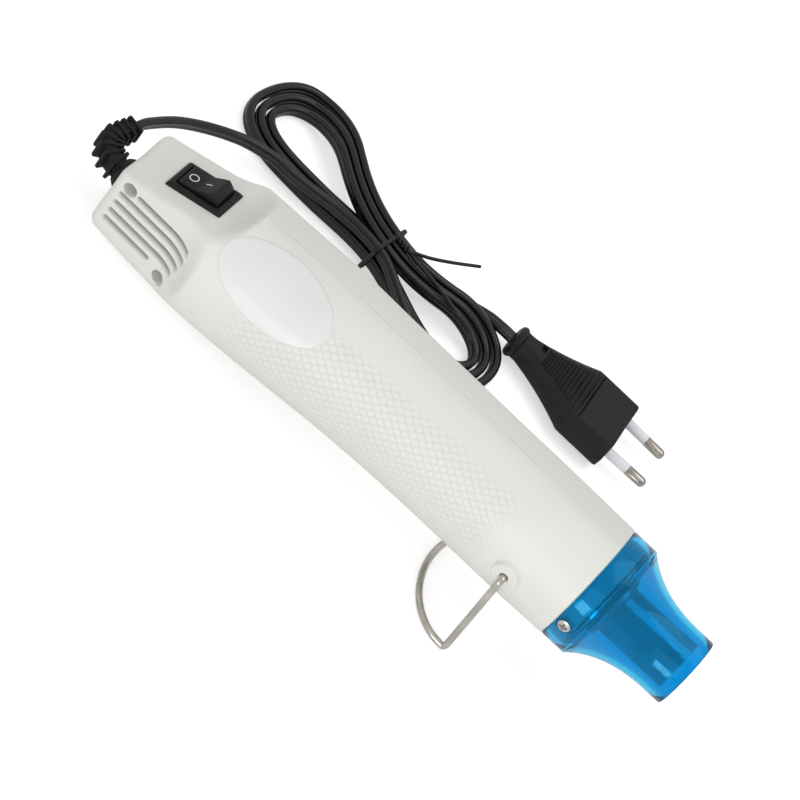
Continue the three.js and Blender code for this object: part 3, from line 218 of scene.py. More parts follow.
def scoop_height(x, scoop, inset=0.0):
    """Height of a scoop's floor: a slope from the rear, then a hollow curve up into the round body."""
    start, slope, end, radius = scoop
    base = start - inset / math.cos(slope)
    hollow = radius + inset
    middle_x = end - hollow * math.sin(slope)
    middle_z = base + end * math.tan(slope) + hollow * math.cos(slope)
    curve = middle_z - np.sqrt(np.maximum(hollow**2 - (x - middle_x) ** 2, 0))
    return np.where(x <= end, base + x * math.tan(slope), np.where(x - middle_x < hollow, curve, NO_FLOOR))


def soft_least(a, b, blend=SCOOP_EDGE):
    """The lesser of two heights, with a rounded edge where they meet."""
    share = np.clip(0.5 + 0.5 * (b - a) / blend, 0, 1)
    return b + (a - b) * share - blend * share * (1 - share)


def shell_reach(x, angle, inset=0.0):
    """How far the housing's surface lies from its middle line, by distance from the rear and angle."""
    rise, out = np.sin(angle), np.abs(np.cos(angle))
    roof = scoop_height(x, TOP_SCOOP, inset) - body_rise(x)
    roof = np.where(rise > LEAST_SHARE, roof / np.maximum(rise, LEAST_SHARE), NO_ROOF)
    wall = scoop_height(x, SIDE_SCOOP, inset) / np.maximum(out, LEAST_SHARE)
    return soft_least(soft_least(body_radius(x) - inset, roof), wall)


def smoothed(mesh, sharp):
    """Shades a mesh smooth, apart from edges sharper than an angle in degrees."""
    mesh.shade_smooth()
    mesh.set_sharp_from_angle(angle=math.radians(sharp))


def add_piece(name, shape, material, sharp=38.0, merge=1e-7):
    """A piece from points in millimetres and faces: closed, faces outward, smooth up to an angle."""
    points, faces = shape
    mesh = bpy.data.meshes.new(name)
    mesh.from_pydata((np.asarray(points, float) * MM).tolist(), [], faces)
    form = bmesh.new()
    form.from_mesh(mesh)
    bmesh.ops.remove_doubles(form, verts=form.verts, dist=merge)
    bmesh.ops.dissolve_degenerate(form, edges=form.edges, dist=merge)
    bmesh.ops.recalc_face_normals(form, faces=form.faces)
    form.to_mesh(mesh)
    form.free()
    smoothed(mesh, sharp)
    mesh.materials.append(material)
    return new_object(name, mesh)


def loft(rings, around=True, caps=True):
    """Points and faces of a skin over rings of equal count, with its two ends closed."""
    count = len(rings[0])
    faces = []
    for i in range(len(rings) - 1):
        for j in range(count if around else count - 1):
            k = (j + 1) % count
            faces.append((i * count + j, i * count + k, (i + 1) * count + k, (i + 1) * count + j))
    if caps:
        last = (len(rings) - 1) * count
        faces.append(tuple(range(count - 1, -1, -1)))
        faces.append(tuple(range(last, last + count)))
    return np.vstack(rings), faces


def joined(shapes):
    """Several shapes of points and faces as one."""
    points, faces, base = [], [], 0
    for shape_points, shape_faces in shapes:
        points.append(shape_points)
        faces += [tuple(base + i for i in face) for face in shape_faces]
        base += len(shape_points)
    return np.vstack(points), faces


def moved(shape, change):
    """A shape with its points taken from one frame to another."""
    points, faces = shape
    return change(points), faces


def placed(shape, side):
    """A shape of the far side as points of the table, or its mirror image on the near side."""
    return moved(shape, lambda points: from_tool(points * np.array((1, side, 1))))


def circle(radius, count=20, flat=1.0):
    """A round section, or an oval one by its flatness: pairs side and up."""
    turn = np.linspace(0, 2 * math.pi, count, endpoint=False)
    return np.column_stack((radius * flat * np.cos(turn), radius * np.sin(turn)))


def rings_about(axis, profile, count, middle=(0, 0, 0)):
    """Rings about a line along x (0), y (1) or z (2), from pairs of distance along it and radius."""
    return [np.insert(circle(radius, count), axis, along, axis=1) + middle for along, radius in profile]


def srgb(red, green, blue):
    """A colour as it is read off a screen, 0 to 255, as the shader's linear one."""
    def linear(value):
        value /= 255
        return value / 12.92 if value <= 0.04045 else ((value + 0.055) / 1.055) ** 2.4

    return linear(red), linear(green), linear(blue), 1.0


def new_tree(name, kind, inputs, outputs):
    """A node tree with named inputs and outputs of given kinds, and its two ends."""
    tree = bpy.data.node_groups.new(name, kind)
    for way, sockets in (("INPUT", inputs), ("OUTPUT", outputs)):
        for label, socket in sockets:
            tree.interface.new_socket(label, in_out=way, socket_type="NodeSocket" + socket)
    return tree, tree.nodes.new("NodeGroupInput").outputs, tree.nodes.new("NodeGroupOutput").inputs


# The skin that a spark-eroded mould leaves: fine grain, and a slow change of tone over the piece
mould_skin, skin_in, skin_out = new_tree(
    "mould_skin", "ShaderNodeTree", (("Grain", "Float"), ("Cloud", "Float")),
    (("Height", "Float"), ("Tone", "Float")))
skin_place = put(mould_skin, "ShaderNodeTexCoord").outputs["Object"]
for scale, detail, roughness, result in (("Grain", 3.0, 0.6, "Height"), ("Cloud", 2.0, 0.5, "Tone")):
    noise = put(mould_skin, "ShaderNodeTexNoise",
                Vector=skin_place, Scale=skin_in[scale], Detail=detail, Roughness=roughness)
    mould_skin.links.new(noise.outputs[0], skin_out[result])


def mixed(tree, share, first, second):
    """A colour between two, by a share."""
    return put(tree, "ShaderNodeMix", {"data_type": "RGBA"}, i0=share, i6=first, i7=second).outputs[2]


def skinned(name, dark, light, gloss, grain=2600.0, cloud=60.0, depth=0.00001, gleam=0.4, metallic=0.0):
    """A material with the mould's grain as bump, and its tone as colour and gloss.

    Its two colours are read off a screen, or linear where they have four values.
    """
    material = bpy.data.materials.new(name)
    material.use_nodes = True
    tree = material.node_tree
    skin = put(tree, "ShaderNodeGroup", {"node_tree": mould_skin}, Grain=grain, Cloud=cloud).outputs
    dark, light = (colour if len(colour) == 4 else srgb(*colour) for colour in (dark, light))
    rough = put(tree, "ShaderNodeMapRange", Value=skin["Tone"], To_Min=gloss[0], To_Max=gloss[1])
    bump = put(tree, "ShaderNodeBump", Strength=1.0, Distance=depth, Height=skin["Height"])
    feed(tree, tree.nodes["Principled BSDF"], Base_Color=mixed(tree, skin["Tone"], dark, light),
         Roughness=rough.outputs[0], Normal=bump.outputs[0], Metallic=metallic, Specular_IOR_Level=gleam)
    return material


def soft_step(tree, value, low, high):
    """0 at one value and 1 at another, with a soft change between."""
    return put(tree, "ShaderNodeMapRange", {"interpolation_type": "SMOOTHSTEP"},
               Value=value, From_Min=low, From_Max=high).outputs[0]


housing_plastic = skinned(
    "housing_plastic", (222, 224, 216), (229, 231, 224), (0.4, 0.52), cloud=30.0, depth=0.00002)
# Net of diamonds: two sets of slanted lines over the distance along and the way round the tool, in metres. The
# lines are sunk by a bump, and their grooves are darkened with painted shade.
NET_RADIUS, NET_LEAN, NET_PITCH, NET_LINE = 0.0245, 1.45, 0.0043, 0.2
NET_REAR, NET_FRONT, NET_TOP, NET_LOW = (0.052, 0.07), (0.178, 0.166), (1.1, 0.8), (-1.25, -0.9)
NET_GROOVE_SHADE_COLOUR, NET_PAINTED_SHADE, NET_DEPTH = (203, 206, 197), 0.5, 0.00007
net = housing_plastic.node_tree
net_shader = net.nodes["Principled BSDF"]
net_place = put(net, "ShaderNodeTexCoord").outputs["Object"]
net_turn = put(net, "ShaderNodeMapping", {"vector_type": "TEXTURE"},
               Vector=net_place, Location=TOOL_REAR * MM, Rotation=(0, -TOOL_LEAN, 0))
net_along, net_side, net_up = put(net, "ShaderNodeSeparateXYZ", Vector=net_turn.outputs[0]).outputs
net_angle = reckon(net, "ARCTAN2", net_up, reckon(net, "ABSOLUTE", net_side))
net_round = reckon(net, "MULTIPLY", net_angle, NET_RADIUS)
net_lines = []
for lean in (NET_LEAN, -NET_LEAN):
    slanted = reckon(net, "MULTIPLY_ADD", net_round, lean, net_along)
    wave = reckon(net, "PINGPONG", reckon(net, "DIVIDE", slanted, NET_PITCH), 0.5)
    net_lines.append(soft_step(net, wave, 0.0, NET_LINE))
net_mask = reckon(net, "SUBTRACT", 1.0, reckon(net, "MINIMUM", *net_lines))
for value, ends in ((net_along, NET_REAR), (net_along, NET_FRONT), (net_angle, NET_TOP), (net_angle, NET_LOW)):
    net_mask = reckon(net, "MULTIPLY", net_mask, soft_step(net, value, *ends))
# Painted shade: the net's grooves are mixed toward a shaded grey, on top of being sunk by the bump below
net_groove_painted_shade = mixed(net, reckon(net, "MULTIPLY", net_mask, NET_PAINTED_SHADE),
                 net_shader.inputs["Base Color"].links[0].from_socket, srgb(*NET_GROOVE_SHADE_COLOUR))
net_bump = put(net, "ShaderNodeBump", {"invert": True}, Strength=1.0, Distance=NET_DEPTH, Height=net_mask,
               Normal=net_shader.inputs["Normal"].links[0].from_socket)
feed(net, net_shader, Base_Color=net_groove_painted_shade, Normal=net_bump.outputs[0])

shell_angles = np.radians(np.linspace(-90, 90, 73))


def shell_row(x, reach, rise=None):
    """Half a ring of the shell, from the underside to the top, on the far side."""
    middle = body_rise(x) if rise is None else rise
    row = np.column_stack((np.full(len(shell_angles), float(x)),
                           reach * np.cos(shell_angles), middle + reach * np.sin(shell_angles)))
    row[0, 1] = row[-1, 1] = SEAM_HALF
    row[:, 1] = np.maximum(row[:, 1], SEAM_HALF)
    return row


def bore_reach(x):
    """The round bore's reach from the housing's own middle line, which runs a little off the axis."""
    low = body_rise(x)
    return -low * np.sin(shell_angles) + np.sqrt(BORE**2 - (low * np.cos(shell_angles)) ** 2)


rear_reach = shell_reach(REAR_ROUND, shell_angles)
back_reach = shell_reach(HOUSING_WALL, shell_angles, HOUSING_WALL)
front = body_radius(HOUSING_LENGTH)
outer_steps = np.concatenate((np.arange(REAR_ROUND, 50, 0.8), np.arange(50.4, 206, 2.2)))
bore_steps = np.concatenate((np.arange(200, ROOM_END, -8.0), (ROOM_END,)))
room_steps = np.concatenate((
    np.arange(ROOM_END - 0.2, 50, -3.0), np.arange(50, HOUSING_WALL, -1.6), (HOUSING_WALL,)))
shell_rows = [shell_row(0, (rear_reach - REAR_ROUND) * share) for share in (0.0, 0.25, 0.5, 0.75, 0.92)]
for turn in np.radians((90, 72, 54, 36, 18)):
    shell_rows.append(shell_row(
        REAR_ROUND * (1 - math.sin(turn)), rear_reach - REAR_ROUND * (1 - math.cos(turn))))
shell_rows += [shell_row(x, shell_reach(x, shell_angles)) for x in outer_steps]
for x, radius in (
        (HOUSING_LENGTH - RIM_ROUND, front), (HOUSING_LENGTH, front - RIM_ROUND), (HOUSING_LENGTH, NECK_RADIUS),
        (NECK_END - NECK_ROUND, NECK_RADIUS), (NECK_END, NECK_RADIUS - NECK_ROUND), (NECK_END, NECK_INNER),
        (NECK_BACK, NECK_INNER), (NECK_BACK, BORE)):
    shell_rows.append(shell_row(x, radius, rise=0))
shell_rows += [shell_row(x, bore_reach(x)) for x in bore_steps]
shell_rows += [shell_row(x, shell_reach(x, shell_angles, HOUSING_WALL)) for x in room_steps]
shell_rows += [shell_row(HOUSING_WALL, back_reach * share) for share in (0.6, 0.25, 0.0)]
shell_points, shell_faces = loft(shell_rows, around=False, caps=False)
rows, columns = len(shell_rows), len(shell_angles)
shell_faces.append(tuple(
    [i * columns for i in range(rows)] + [i * columns + columns - 1 for i in reversed(range(rows))]))


def cross_turn(x, z, profile, count=32):
    """A round form about a line across the tool, from pairs of distance out and radius."""
    return loft(rings_about(1, profile, count, (x, 0, z)))


def slot_cut(start, end, z):
    """What a vent slot takes away: long round ends, and a mouth that widens a little at the surface."""
    arc = np.radians(np.linspace(-90, 90, 9))
    cos, sin, level = np.cos(arc), np.sin(arc), np.zeros(24)
    rear, ahead = start + VENT_HALF, end - VENT_HALF
    x = np.concatenate((ahead + VENT_HALF * cos, np.linspace(ahead, rear, 26)[1:-1],
                        rear - VENT_HALF * cos, np.linspace(rear, ahead, 26)[1:-1]))
    along = np.concatenate((cos, level, -cos, level))
    upward = np.concatenate((sin, level + 1, -sin, level - 1))
    round_body = np.sqrt(np.maximum(body_radius(x) ** 2 - (z - body_rise(x)) ** 2, 0))
    surface = np.minimum(scoop_height(x, SIDE_SCOOP), round_body)
    return loft([
        np.column_stack((x + widen * along, surface + depth, z + VENT_HALF * upward + widen * upward))
        for depth, widen in VENT_MOUTH])


def boss_form():
    """Low round boss that the stand turns in, with a soft foot that follows the round body."""
    rings = rings_about(1, BOSS_LINE, 64, (STAND_X, 0, 0))
    for ring, (out, _) in zip(rings, BOSS_LINE):
        fall = np.sqrt(BOSS_BODY**2 - ring[:, 2] ** 2) - BOSS_BODY
        ring[:, 1] += fall * np.clip((BOSS_STRAIGHT - out) / BOSS_BLEND, 0, 1)
    return loft(rings)


def switch_cut():
    """The square hole in the sloped top that the switch snaps into."""
    return moved(loft([
        np.array([(x * SWITCH_LENGTH / 2, y * SWITCH_WIDTH / 2, z) for x, y in CORNERS])
        for z in (-SWITCH_CUT, SWITCH_CUT)]), from_facet)


def combine(piece, shape, operation):
    """Adds a shape to a piece, or takes it away, for good."""
    other = add_piece("other", shape, piece.data.materials[0])
    step = piece.modifiers.new(operation.lower(), "BOOLEAN")
    step.object = other
    step.operation = operation
    step.solver = "EXACT"
    bpy.context.view_layer.update()
    graph = bpy.context.evaluated_depsgraph_get()
    mesh = bpy.data.meshes.new_from_object(piece.evaluated_get(graph))
    piece.modifiers.remove(step)
    old = piece.data
    piece.data = mesh
    mesh.name = piece.name
    bpy.data.meshes.remove(old)
    bpy.data.objects.remove(other)


for side, node in ((-1, "housing_left"), (1, "housing_right")):
    shell = add_piece(
        "shell_" + node[8:], placed((shell_points, shell_faces), side), housing_plastic, merge=1e-6)
    added = [boss_form()]
    taken = [slot_cut(*slot) for slot in VENT_SLOTS]
    taken.append(cross_turn(STAND_X, 0, STAND_HOLE))
    taken.append(cross_turn(GUARD_SCREW_X, 0, GUARD_SCREW_HOLE))
    for x, z in JOIN_SCREWS:
        panel = float(scoop_height(np.array(x), SIDE_SCOOP))
        added.append(cross_turn(x, z, ((SEAM_HALF, SCREW_POST), (panel - 1.2, SCREW_POST))))
        if side < 0:
            taken.append(cross_turn(x, z, (
                (8, 2.6), (panel - 0.7, 2.6), (panel - 0.25, 2.7), (panel + 0.1, 2.95), (panel + 4, 3.2))))
        hole_end = 8.4 if side < 0 else 8.5
        taken.append(cross_turn(x, z, ((-1, SCREW_HOLE), (hole_end, SCREW_HOLE)), 16))
    taken.append(switch_cut())
    taken.append(loft(rings_about(0, BOOT_HOLE, 40, (0, 0, BOOT_DROP))))
    combine(shell, joined([placed(form, side) for form in added]), "UNION")
    combine(shell, joined([placed(form, side) for form in taken]), "DIFFERENCE")
    smoothed(shell.data, 36)
    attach(shell, "body")
    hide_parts(node)

# Rating label: an oval of plain film stuck on the upper near side, left bare.
# It follows the round body and stands proud by its own thickness.
LABEL_X, LABEL_LENGTH, LABEL_WIDTH = 66.0, 46.0, 26.0
LABEL_ANGLE = math.radians(43)
LABEL_UNDER, LABEL_LIFT, LABEL_EDGE = 0.03, 0.32, 0.08


def label_ring(share, lift):
    """A ring of the oval, at a share of its size, laid on the round body at a small height."""
    oval = circle(1.0, 120)
    x = LABEL_X + share * LABEL_LENGTH / 2 * oval[:, 0]
    across = share * LABEL_WIDTH / 2 * oval[:, 1]
    rise = body_rise(x)
    cos, sin = math.cos(LABEL_ANGLE), math.sin(LABEL_ANGLE)
    out = rise * sin + np.sqrt((body_radius(x) + lift) ** 2 - (across - rise * cos) ** 2)
    return np.column_stack((x, across * sin - out * cos, across * cos + out * sin))


label_rings = [label_ring(share, LABEL_UNDER) for share in (0.02, 0.3, 0.6, 0.85, 1.0)]
label_rings += [label_ring(1.0, LABEL_LIFT - LABEL_EDGE)]
label_rings += [label_ring(share, LABEL_LIFT) for share in (0.994, 0.97, 0.85, 0.6, 0.3, 0.02)]
label_film = skinned(
    "label_film", (225, 223, 223), (231, 229, 229), (0.24, 0.36), 1500.0, 70.0, 0.000003, 0.5)
label = add_piece("label", moved(loft(label_rings), from_tool), label_film)
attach(label, "body")
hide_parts("rating_label")

# Rocker switch: a black moulded frame snapped into the sloped top, with a rocker that tips in its well.
# The rocker's two halves slope to a low middle, and carry a white ring and a white bar.
ROCKER_PIVOT = 1.5
ROCKER_TILT = math.radians(11)
ROCKER_MIDDLE = np.array((0.0, -0.6))
ROCKER_CORNERS = ((-8.2, -2.2), (-8.2, 0.6), (-7.4, 2.5), (-1.0, 1.0), (6.5, 2.9), (8.2, 0.3), (8.2, -2.2),
                  (2.8, -4.8), (-2.8, -4.8))
ROCKER_ROUNDS = (0.2, 0.5, 0.7, 1.8, 0.8, 0.6, 0.2, 0.4, 0.4)
ROCKER_EDGES = ((-5.2, 0.95), (-5.15, 0.975), (-5.0, 0.993), (-4.8, 1), (4.8, 1), (5.0, 0.993),
                (5.15, 0.975), (5.2, 0.95))
BEZEL_RINGS = (
    (17.2, 10.8, 0.3, -6.4), (17.2, 10.8, 0.3, 1.3), (17.4, 11.0, 0.4, 1.5), (17.8, 11.4, 0.5, 1.6),
    (20.0, 13.2, 0.5, 1.6), (20.4, 13.6, 0.6, 1.5), (22.1, 15.2, 0.5, 0.55), (22.2, 15.3, 0.5, 0.4),
    (22.2, 15.3, 0.5, 0.03), (18.8, 12.6, 0.3, 0.03), (18.8, 12.6, 0.3, -12.0))
RING_PLACE, RING_SLOPE, RING_OUTER, RING_INNER = (-4.4, 0, 1.8), -0.231, 1.8, 1.4
BAR_PLACE, BAR_SLOPE, BAR_LENGTH, BAR_WIDTH, BAR_ROUND = (1.5, 0, 1.63), 0.248, 2.5, 0.44, 0.1
PAINT_LOW, PAINT_HIGH = -0.1, 0.05


def rounded_rect(length, width, corner, height, steps=6):
    """A ring of a rectangle with round corners, at a height."""
    ring = []
    for quarter, (sx, sy) in enumerate(((1, 1), (-1, 1), (-1, -1), (1, -1))):
        for turn in np.radians(90 * quarter + np.linspace(0, 90, steps)):
            ring.append((sx * (length / 2 - corner) + corner * math.cos(turn),
                         sy * (width / 2 - corner) + corner * math.sin(turn), height))
    return np.array(ring)


def rounded(corners, reach, steps=6, closed=True):
    """A line through corners, each rounded off over its own short reach."""
    corners = np.asarray(corners, float)
    reach = np.broadcast_to(reach, len(corners))
    line = []
    for i, corner in enumerate(corners):
        if not closed and i in (0, len(corners) - 1):
            line.append(corner)
            continue
        before = corners[i - 1] - corner
        after = corners[(i + 1) % len(corners)] - corner
        start = corner + before * min(reach[i] / np.linalg.norm(before), 0.5)
        end = corner + after * min(reach[i] / np.linalg.norm(after), 0.5)
        for t in np.linspace(0, 1, steps):
            line.append((1 - t) ** 2 * start + 2 * t * (1 - t) * corner + t * t * end)
    return np.array(line)


def from_rocker(points):
    """Points about the rocker's pivot, as it is tipped at rest, as points of the table."""
    return from_tool(from_facet(leaned(points, ROCKER_TILT, (0, 0, ROCKER_PIVOT))))


switch_black = skinned("switch_black", (17, 17, 20), (23, 23, 26), (0.34, 0.44), 3400.0, 60.0, 0.000012, 0.25)
bezel_form = moved(loft([rounded_rect(*ring) for ring in BEZEL_RINGS]), from_facet)
switch_frame = add_piece("switch_bezel", moved(bezel_form, from_tool), switch_black, 30)
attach(switch_frame, "body")
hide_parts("switch_frame")

rocker_line = rounded(ROCKER_CORNERS, ROCKER_ROUNDS)
rocker_rings = [
    np.insert(ROCKER_MIDDLE + (rocker_line - ROCKER_MIDDLE) * share, 1, across, axis=1)
    for across, share in ROCKER_EDGES]
rocker = add_piece("rocker", moved(loft(rocker_rings), from_rocker), switch_black, 32)
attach(rocker, "rocker")
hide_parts("switch_rocker")

# The two printed marks, thin as paint, each square to the half that it lies on
mark_white = skinned("mark_white", (212, 212, 210), (228, 228, 226), (0.42, 0.6), 2600.0, 30.0, 0.000004, 0.5)
ring_form = loft(rings_about(2, (
    (PAINT_LOW, RING_OUTER), (PAINT_HIGH, RING_OUTER), (PAINT_HIGH, RING_INNER), (PAINT_LOW, RING_INNER),
    (PAINT_LOW, RING_OUTER)), 48), caps=False)
bar_form = loft([rounded_rect(BAR_LENGTH, BAR_WIDTH, BAR_ROUND, h) for h in (PAINT_LOW, PAINT_HIGH)])
marks_form = joined((
    moved(ring_form, lambda points: leaned(points, RING_SLOPE, RING_PLACE)),
    moved(bar_form, lambda points: leaned(points, BAR_SLOPE, BAR_PLACE))))
marks = add_piece("rocker_marks", moved(marks_form, from_rocker), mark_white)
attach(marks, "rocker")


def dress(material, *names):
    """Gives CAD pieces that keep their own shape a finer finish."""
    for name in names:
        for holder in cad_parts[name].material_slots:
            holder.material = material


def worn_metal(name, dark, light, gloss, grain=1800.0, cloud=90.0):
    """A bare metal with a slow change of tone and gloss, and a very fine grain."""
    return skinned(name, dark, light, gloss, grain, cloud, depth=0.000004, gleam=0.5, metallic=1.0)


dress(worn_metal("brass_blade", (176, 140, 70), (205, 172, 98), (0.28, 0.42)),
      "switch_terminal_line", "switch_terminal_load")

# Screws: cross-recessed steel screws, two that join the halves from the near side, one on each side of
# the guard. One tree makes the head, cuts its recess and sets the screw out on points that face outward.
HEAD_DOME, WING_LENGTH, WING_WIDTH, WING_RISE = -0.42, 1.25, 0.3, 0.38
LEAST_HEIGHT, MOST_SPIN = 0.0001, 1.5
JOIN_SCREW_OUT, GUARD_SCREW_OUT = 9.05, 23.0


def geometry_tree(name, **inputs):
    """A geometry tree with a geometry in, inputs named with _ for a space, and a geometry out."""
    named = [(label.replace("_", " "), kind) for label, kind in inputs.items()]
    solid = [("Geometry", "Geometry")]
    return new_tree(name, "GeometryNodeTree", solid + named, solid)


def grown(name, tree, points, values, edges=(), facing=None):
    """Runs a tree over points in millimetres, and keeps what it makes as a plain mesh."""
    mesh = bpy.data.meshes.new(name)
    mesh.from_pydata((np.asarray(points, float) * MM).tolist(), list(edges), [])
    if facing is not None:
        mesh.attributes.new("facing", "FLOAT_VECTOR", "POINT").data.foreach_set(
            "vector", np.asarray(facing, float).ravel())
    piece = new_object(name, mesh)
    step = piece.modifiers.new("grow", "NODES")
    step.node_group = tree
    for item in tree.interface.items_tree:
        if item.name in values:
            step[item.identifier] = values[item.name]
    bpy.context.view_layer.update()
    made = bpy.data.meshes.new_from_object(piece.evaluated_get(bpy.context.evaluated_depsgraph_get()))
    piece.modifiers.remove(step)
    piece.data = made
    made.name = name
    bpy.data.meshes.remove(mesh)
    smoothed(made, 38)
    return piece


def finish_tree(tree, geometry, material, end):
    """Ends a tree: real geometry, with its material."""
    real = put(tree, "GeometryNodeRealizeInstances", Geometry=geometry)
    dressed = put(tree, "GeometryNodeSetMaterial", Geometry=real.outputs[0], Material=material)
    tree.links.new(dressed.outputs[0], end[0])


def vector(tree, **values):
    """A vector from its X, Y and Z."""
    return put(tree, "ShaderNodeCombineXYZ", **values).outputs[0]


screw_tree, screw_in, screw_out = geometry_tree(
    "cross_screws", Head_Radius="Float", Head_Height="Float", Shank_Radius="Float", Shank_Length="Float",
    Seed="Int", Metal="Material")
head_radius, head_height = screw_in["Head Radius"], screw_in["Head Height"]
shank_length = screw_in["Shank Length"]
screw_head = put(screw_tree, "GeometryNodeMeshCylinder", Vertices=40, Side_Segments=2, Fill_Segments=6,
                 Radius=head_radius, Depth=head_height)
head_place = put(screw_tree, "GeometryNodeInputPosition").outputs[0]
head_x, head_y, head_z = put(screw_tree, "ShaderNodeSeparateXYZ", Vector=head_place).outputs
square_out = reckon(screw_tree, "MULTIPLY_ADD", head_y, head_y, reckon(screw_tree, "MULTIPLY", head_x, head_x))
outward = reckon(screw_tree, "DIVIDE", square_out, reckon(screw_tree, "MULTIPLY", head_radius, head_radius))
lowered = reckon(screw_tree, "MULTIPLY", outward, reckon(screw_tree, "MULTIPLY", head_height, HEAD_DOME))
top_drop = reckon(screw_tree, "MULTIPLY", lowered, reckon(screw_tree, "GREATER_THAN", head_z, LEAST_HEIGHT))
domed = put(screw_tree, "GeometryNodeSetPosition",
            Geometry=screw_head.outputs[0], Offset=vector(screw_tree, Z=top_drop))
wing_size = vector(screw_tree, X=reckon(screw_tree, "MULTIPLY", head_radius, WING_LENGTH),
                   Y=reckon(screw_tree, "MULTIPLY", head_radius, WING_WIDTH), Z=head_height)
wing_place = vector(screw_tree, Z=reckon(screw_tree, "MULTIPLY", head_height, WING_RISE))
recessed = put(screw_tree, "GeometryNodeMeshBoolean", {"operation": "DIFFERENCE"}, i0=domed.outputs[0])
for turn in (0.0, math.pi / 2):
    wing = put(screw_tree, "GeometryNodeMeshCube", Size=wing_size)
    set_wing = put(screw_tree, "GeometryNodeTransform",
                   Geometry=wing.outputs[0], Translation=wing_place, Rotation=(0, 0, turn))
    feed(screw_tree, recessed, i1=set_wing.outputs[0])
shank = put(screw_tree, "GeometryNodeMeshCylinder",
            Vertices=24, Radius=screw_in["Shank Radius"], Depth=shank_length)
screw_span = reckon(screw_tree, "ADD", head_height, shank_length)
shank_place = vector(screw_tree, Z=reckon(screw_tree, "MULTIPLY", screw_span, -0.5))
set_shank = put(screw_tree, "GeometryNodeTransform", Geometry=shank.outputs[0], Translation=shank_place)
whole_screw = put(screw_tree, "GeometryNodeJoinGeometry", i0=recessed.outputs[0])
feed(screw_tree, whole_screw, i0=set_shank.outputs[0])
screw_facing = put(screw_tree, "GeometryNodeInputNamedAttribute", {"data_type": "FLOAT_VECTOR"}, Name="facing")
screw_aim = put(screw_tree, "FunctionNodeAlignRotationToVector", {"axis": "Z"}, Vector=screw_facing.outputs[0])
screw_chance = put(screw_tree, "FunctionNodeRandomValue", i2=0.0, i3=MOST_SPIN, Seed=screw_in["Seed"])
screw_spin = put(screw_tree, "FunctionNodeAxisAngleToRotation", Axis=(0, 0, 1), Angle=screw_chance.outputs[1])
screw_turn = put(screw_tree, "FunctionNodeRotateRotation", {"rotation_space": "LOCAL"},
                 i0=screw_aim.outputs[0], i1=screw_spin.outputs[0])
screws_set = put(screw_tree, "GeometryNodeInstanceOnPoints", Points=screw_in["Geometry"],
                 Instance=whole_screw.outputs[0], Rotation=screw_turn.outputs[0])
finish_tree(screw_tree, screws_set.outputs[0], screw_in["Metal"], screw_out)

screw_steel = worn_metal("screw_steel", (168, 167, 164), (212, 211, 208), (0.26, 0.4))
join_screws = grown(
    "join_screws", screw_tree, from_tool([(x, -JOIN_SCREW_OUT, z) for x, z in JOIN_SCREWS]),
    {"Head Radius": 1.9 * MM, "Head Height": 1.5 * MM, "Shank Radius": 1.0 * MM, "Shank Length": 15.5 * MM,
     "Seed": 3, "Metal": screw_steel}, facing=((0, -1, 0), (0, -1, 0)))
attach(join_screws, "body")
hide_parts("housing_screw_rear", "housing_screw_front")
guard_screws = grown(
    "guard_screws", screw_tree, from_tool([(GUARD_SCREW_X, side * GUARD_SCREW_OUT, 0) for side in (-1, 1)]),
    {"Head Radius": 2.4 * MM, "Head Height": 1.3 * MM, "Shank Radius": 1.1 * MM, "Shank Length": 5.3 * MM,
     "Seed": 8, "Metal": screw_steel}, facing=((0, -1, 0), (0, 1, 0)))
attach(guard_screws, "body")
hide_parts("guard_screw_left", "guard_screw_right")

# Heater: a thin steel tube with a pressed flange that the guard clamps, lined with a mica sleeve.
# A coil of resistance wire is wound on two crossed mica plates in front of a ceramic base.
BARREL_LINE = (
    (198, 9.0), (198, 9.5), (213.8, 9.5), (214.15, 9.65), (214.3, 10.0), (214.3, 20.6), (214.5, 20.8),
    (215.4, 20.8), (215.6, 20.6), (215.6, 13.6), (215.8, 12.7), (216.4, 12.2), (219.0, 12.0), (219.4, 11.8),
    (219.5, 11.4), (219.5, 10.1), (219.7, 9.7), (220.1, 9.5), (247.7, 9.5), (247.9, 9.42), (248, 9.25),
    (247.9, 9.08), (247.7, 9.0))
COIL_START = (204.1, 0, 0)


def turned(profile, count):
    """A closed form turned about the tool's axis, from pairs of distance along and radius."""
    rings = rings_about(0, profile, count)
    return moved(loft(rings + rings[:1], caps=False), from_tool)


barrel_steel = worn_metal("barrel_steel", (150, 149, 148), (206, 205, 203), (0.1, 0.2), 1200.0, 130.0)
barrel = add_piece("barrel", turned(BARREL_LINE, 96), barrel_steel, 42)
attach(barrel, "body")
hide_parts("heater_barrel")

coil_tree, coil_in, coil_out = geometry_tree(
    "heater_coil", Turns="Float", Radius="Float", Length="Float", Wire="Float", Start="Vector", Turn="Vector",
    Metal="Material")
coil_line = put(coil_tree, "GeometryNodeCurveSpiral", Resolution=40, Rotations=coil_in["Turns"],
                Height=coil_in["Length"], Start_Radius=coil_in["Radius"], End_Radius=coil_in["Radius"])
coil_round = put(coil_tree, "GeometryNodeCurvePrimitiveCircle", Resolution=12, Radius=coil_in["Wire"])
coil_wire = put(coil_tree, "GeometryNodeCurveToMesh",
                Curve=coil_line.outputs[0], Profile_Curve=coil_round.outputs[0], Fill_Caps=True)
coil_placed = put(coil_tree, "GeometryNodeTransform", Geometry=coil_wire.outputs[0],
                  Translation=coil_in["Start"], Rotation=coil_in["Turn"])
finish_tree(coil_tree, coil_placed.outputs[0], coil_in["Metal"], coil_out)
resistance_wire = worn_metal("resistance_wire", (96, 90, 84), (150, 142, 134), (0.34, 0.5), 900.0, 300.0)
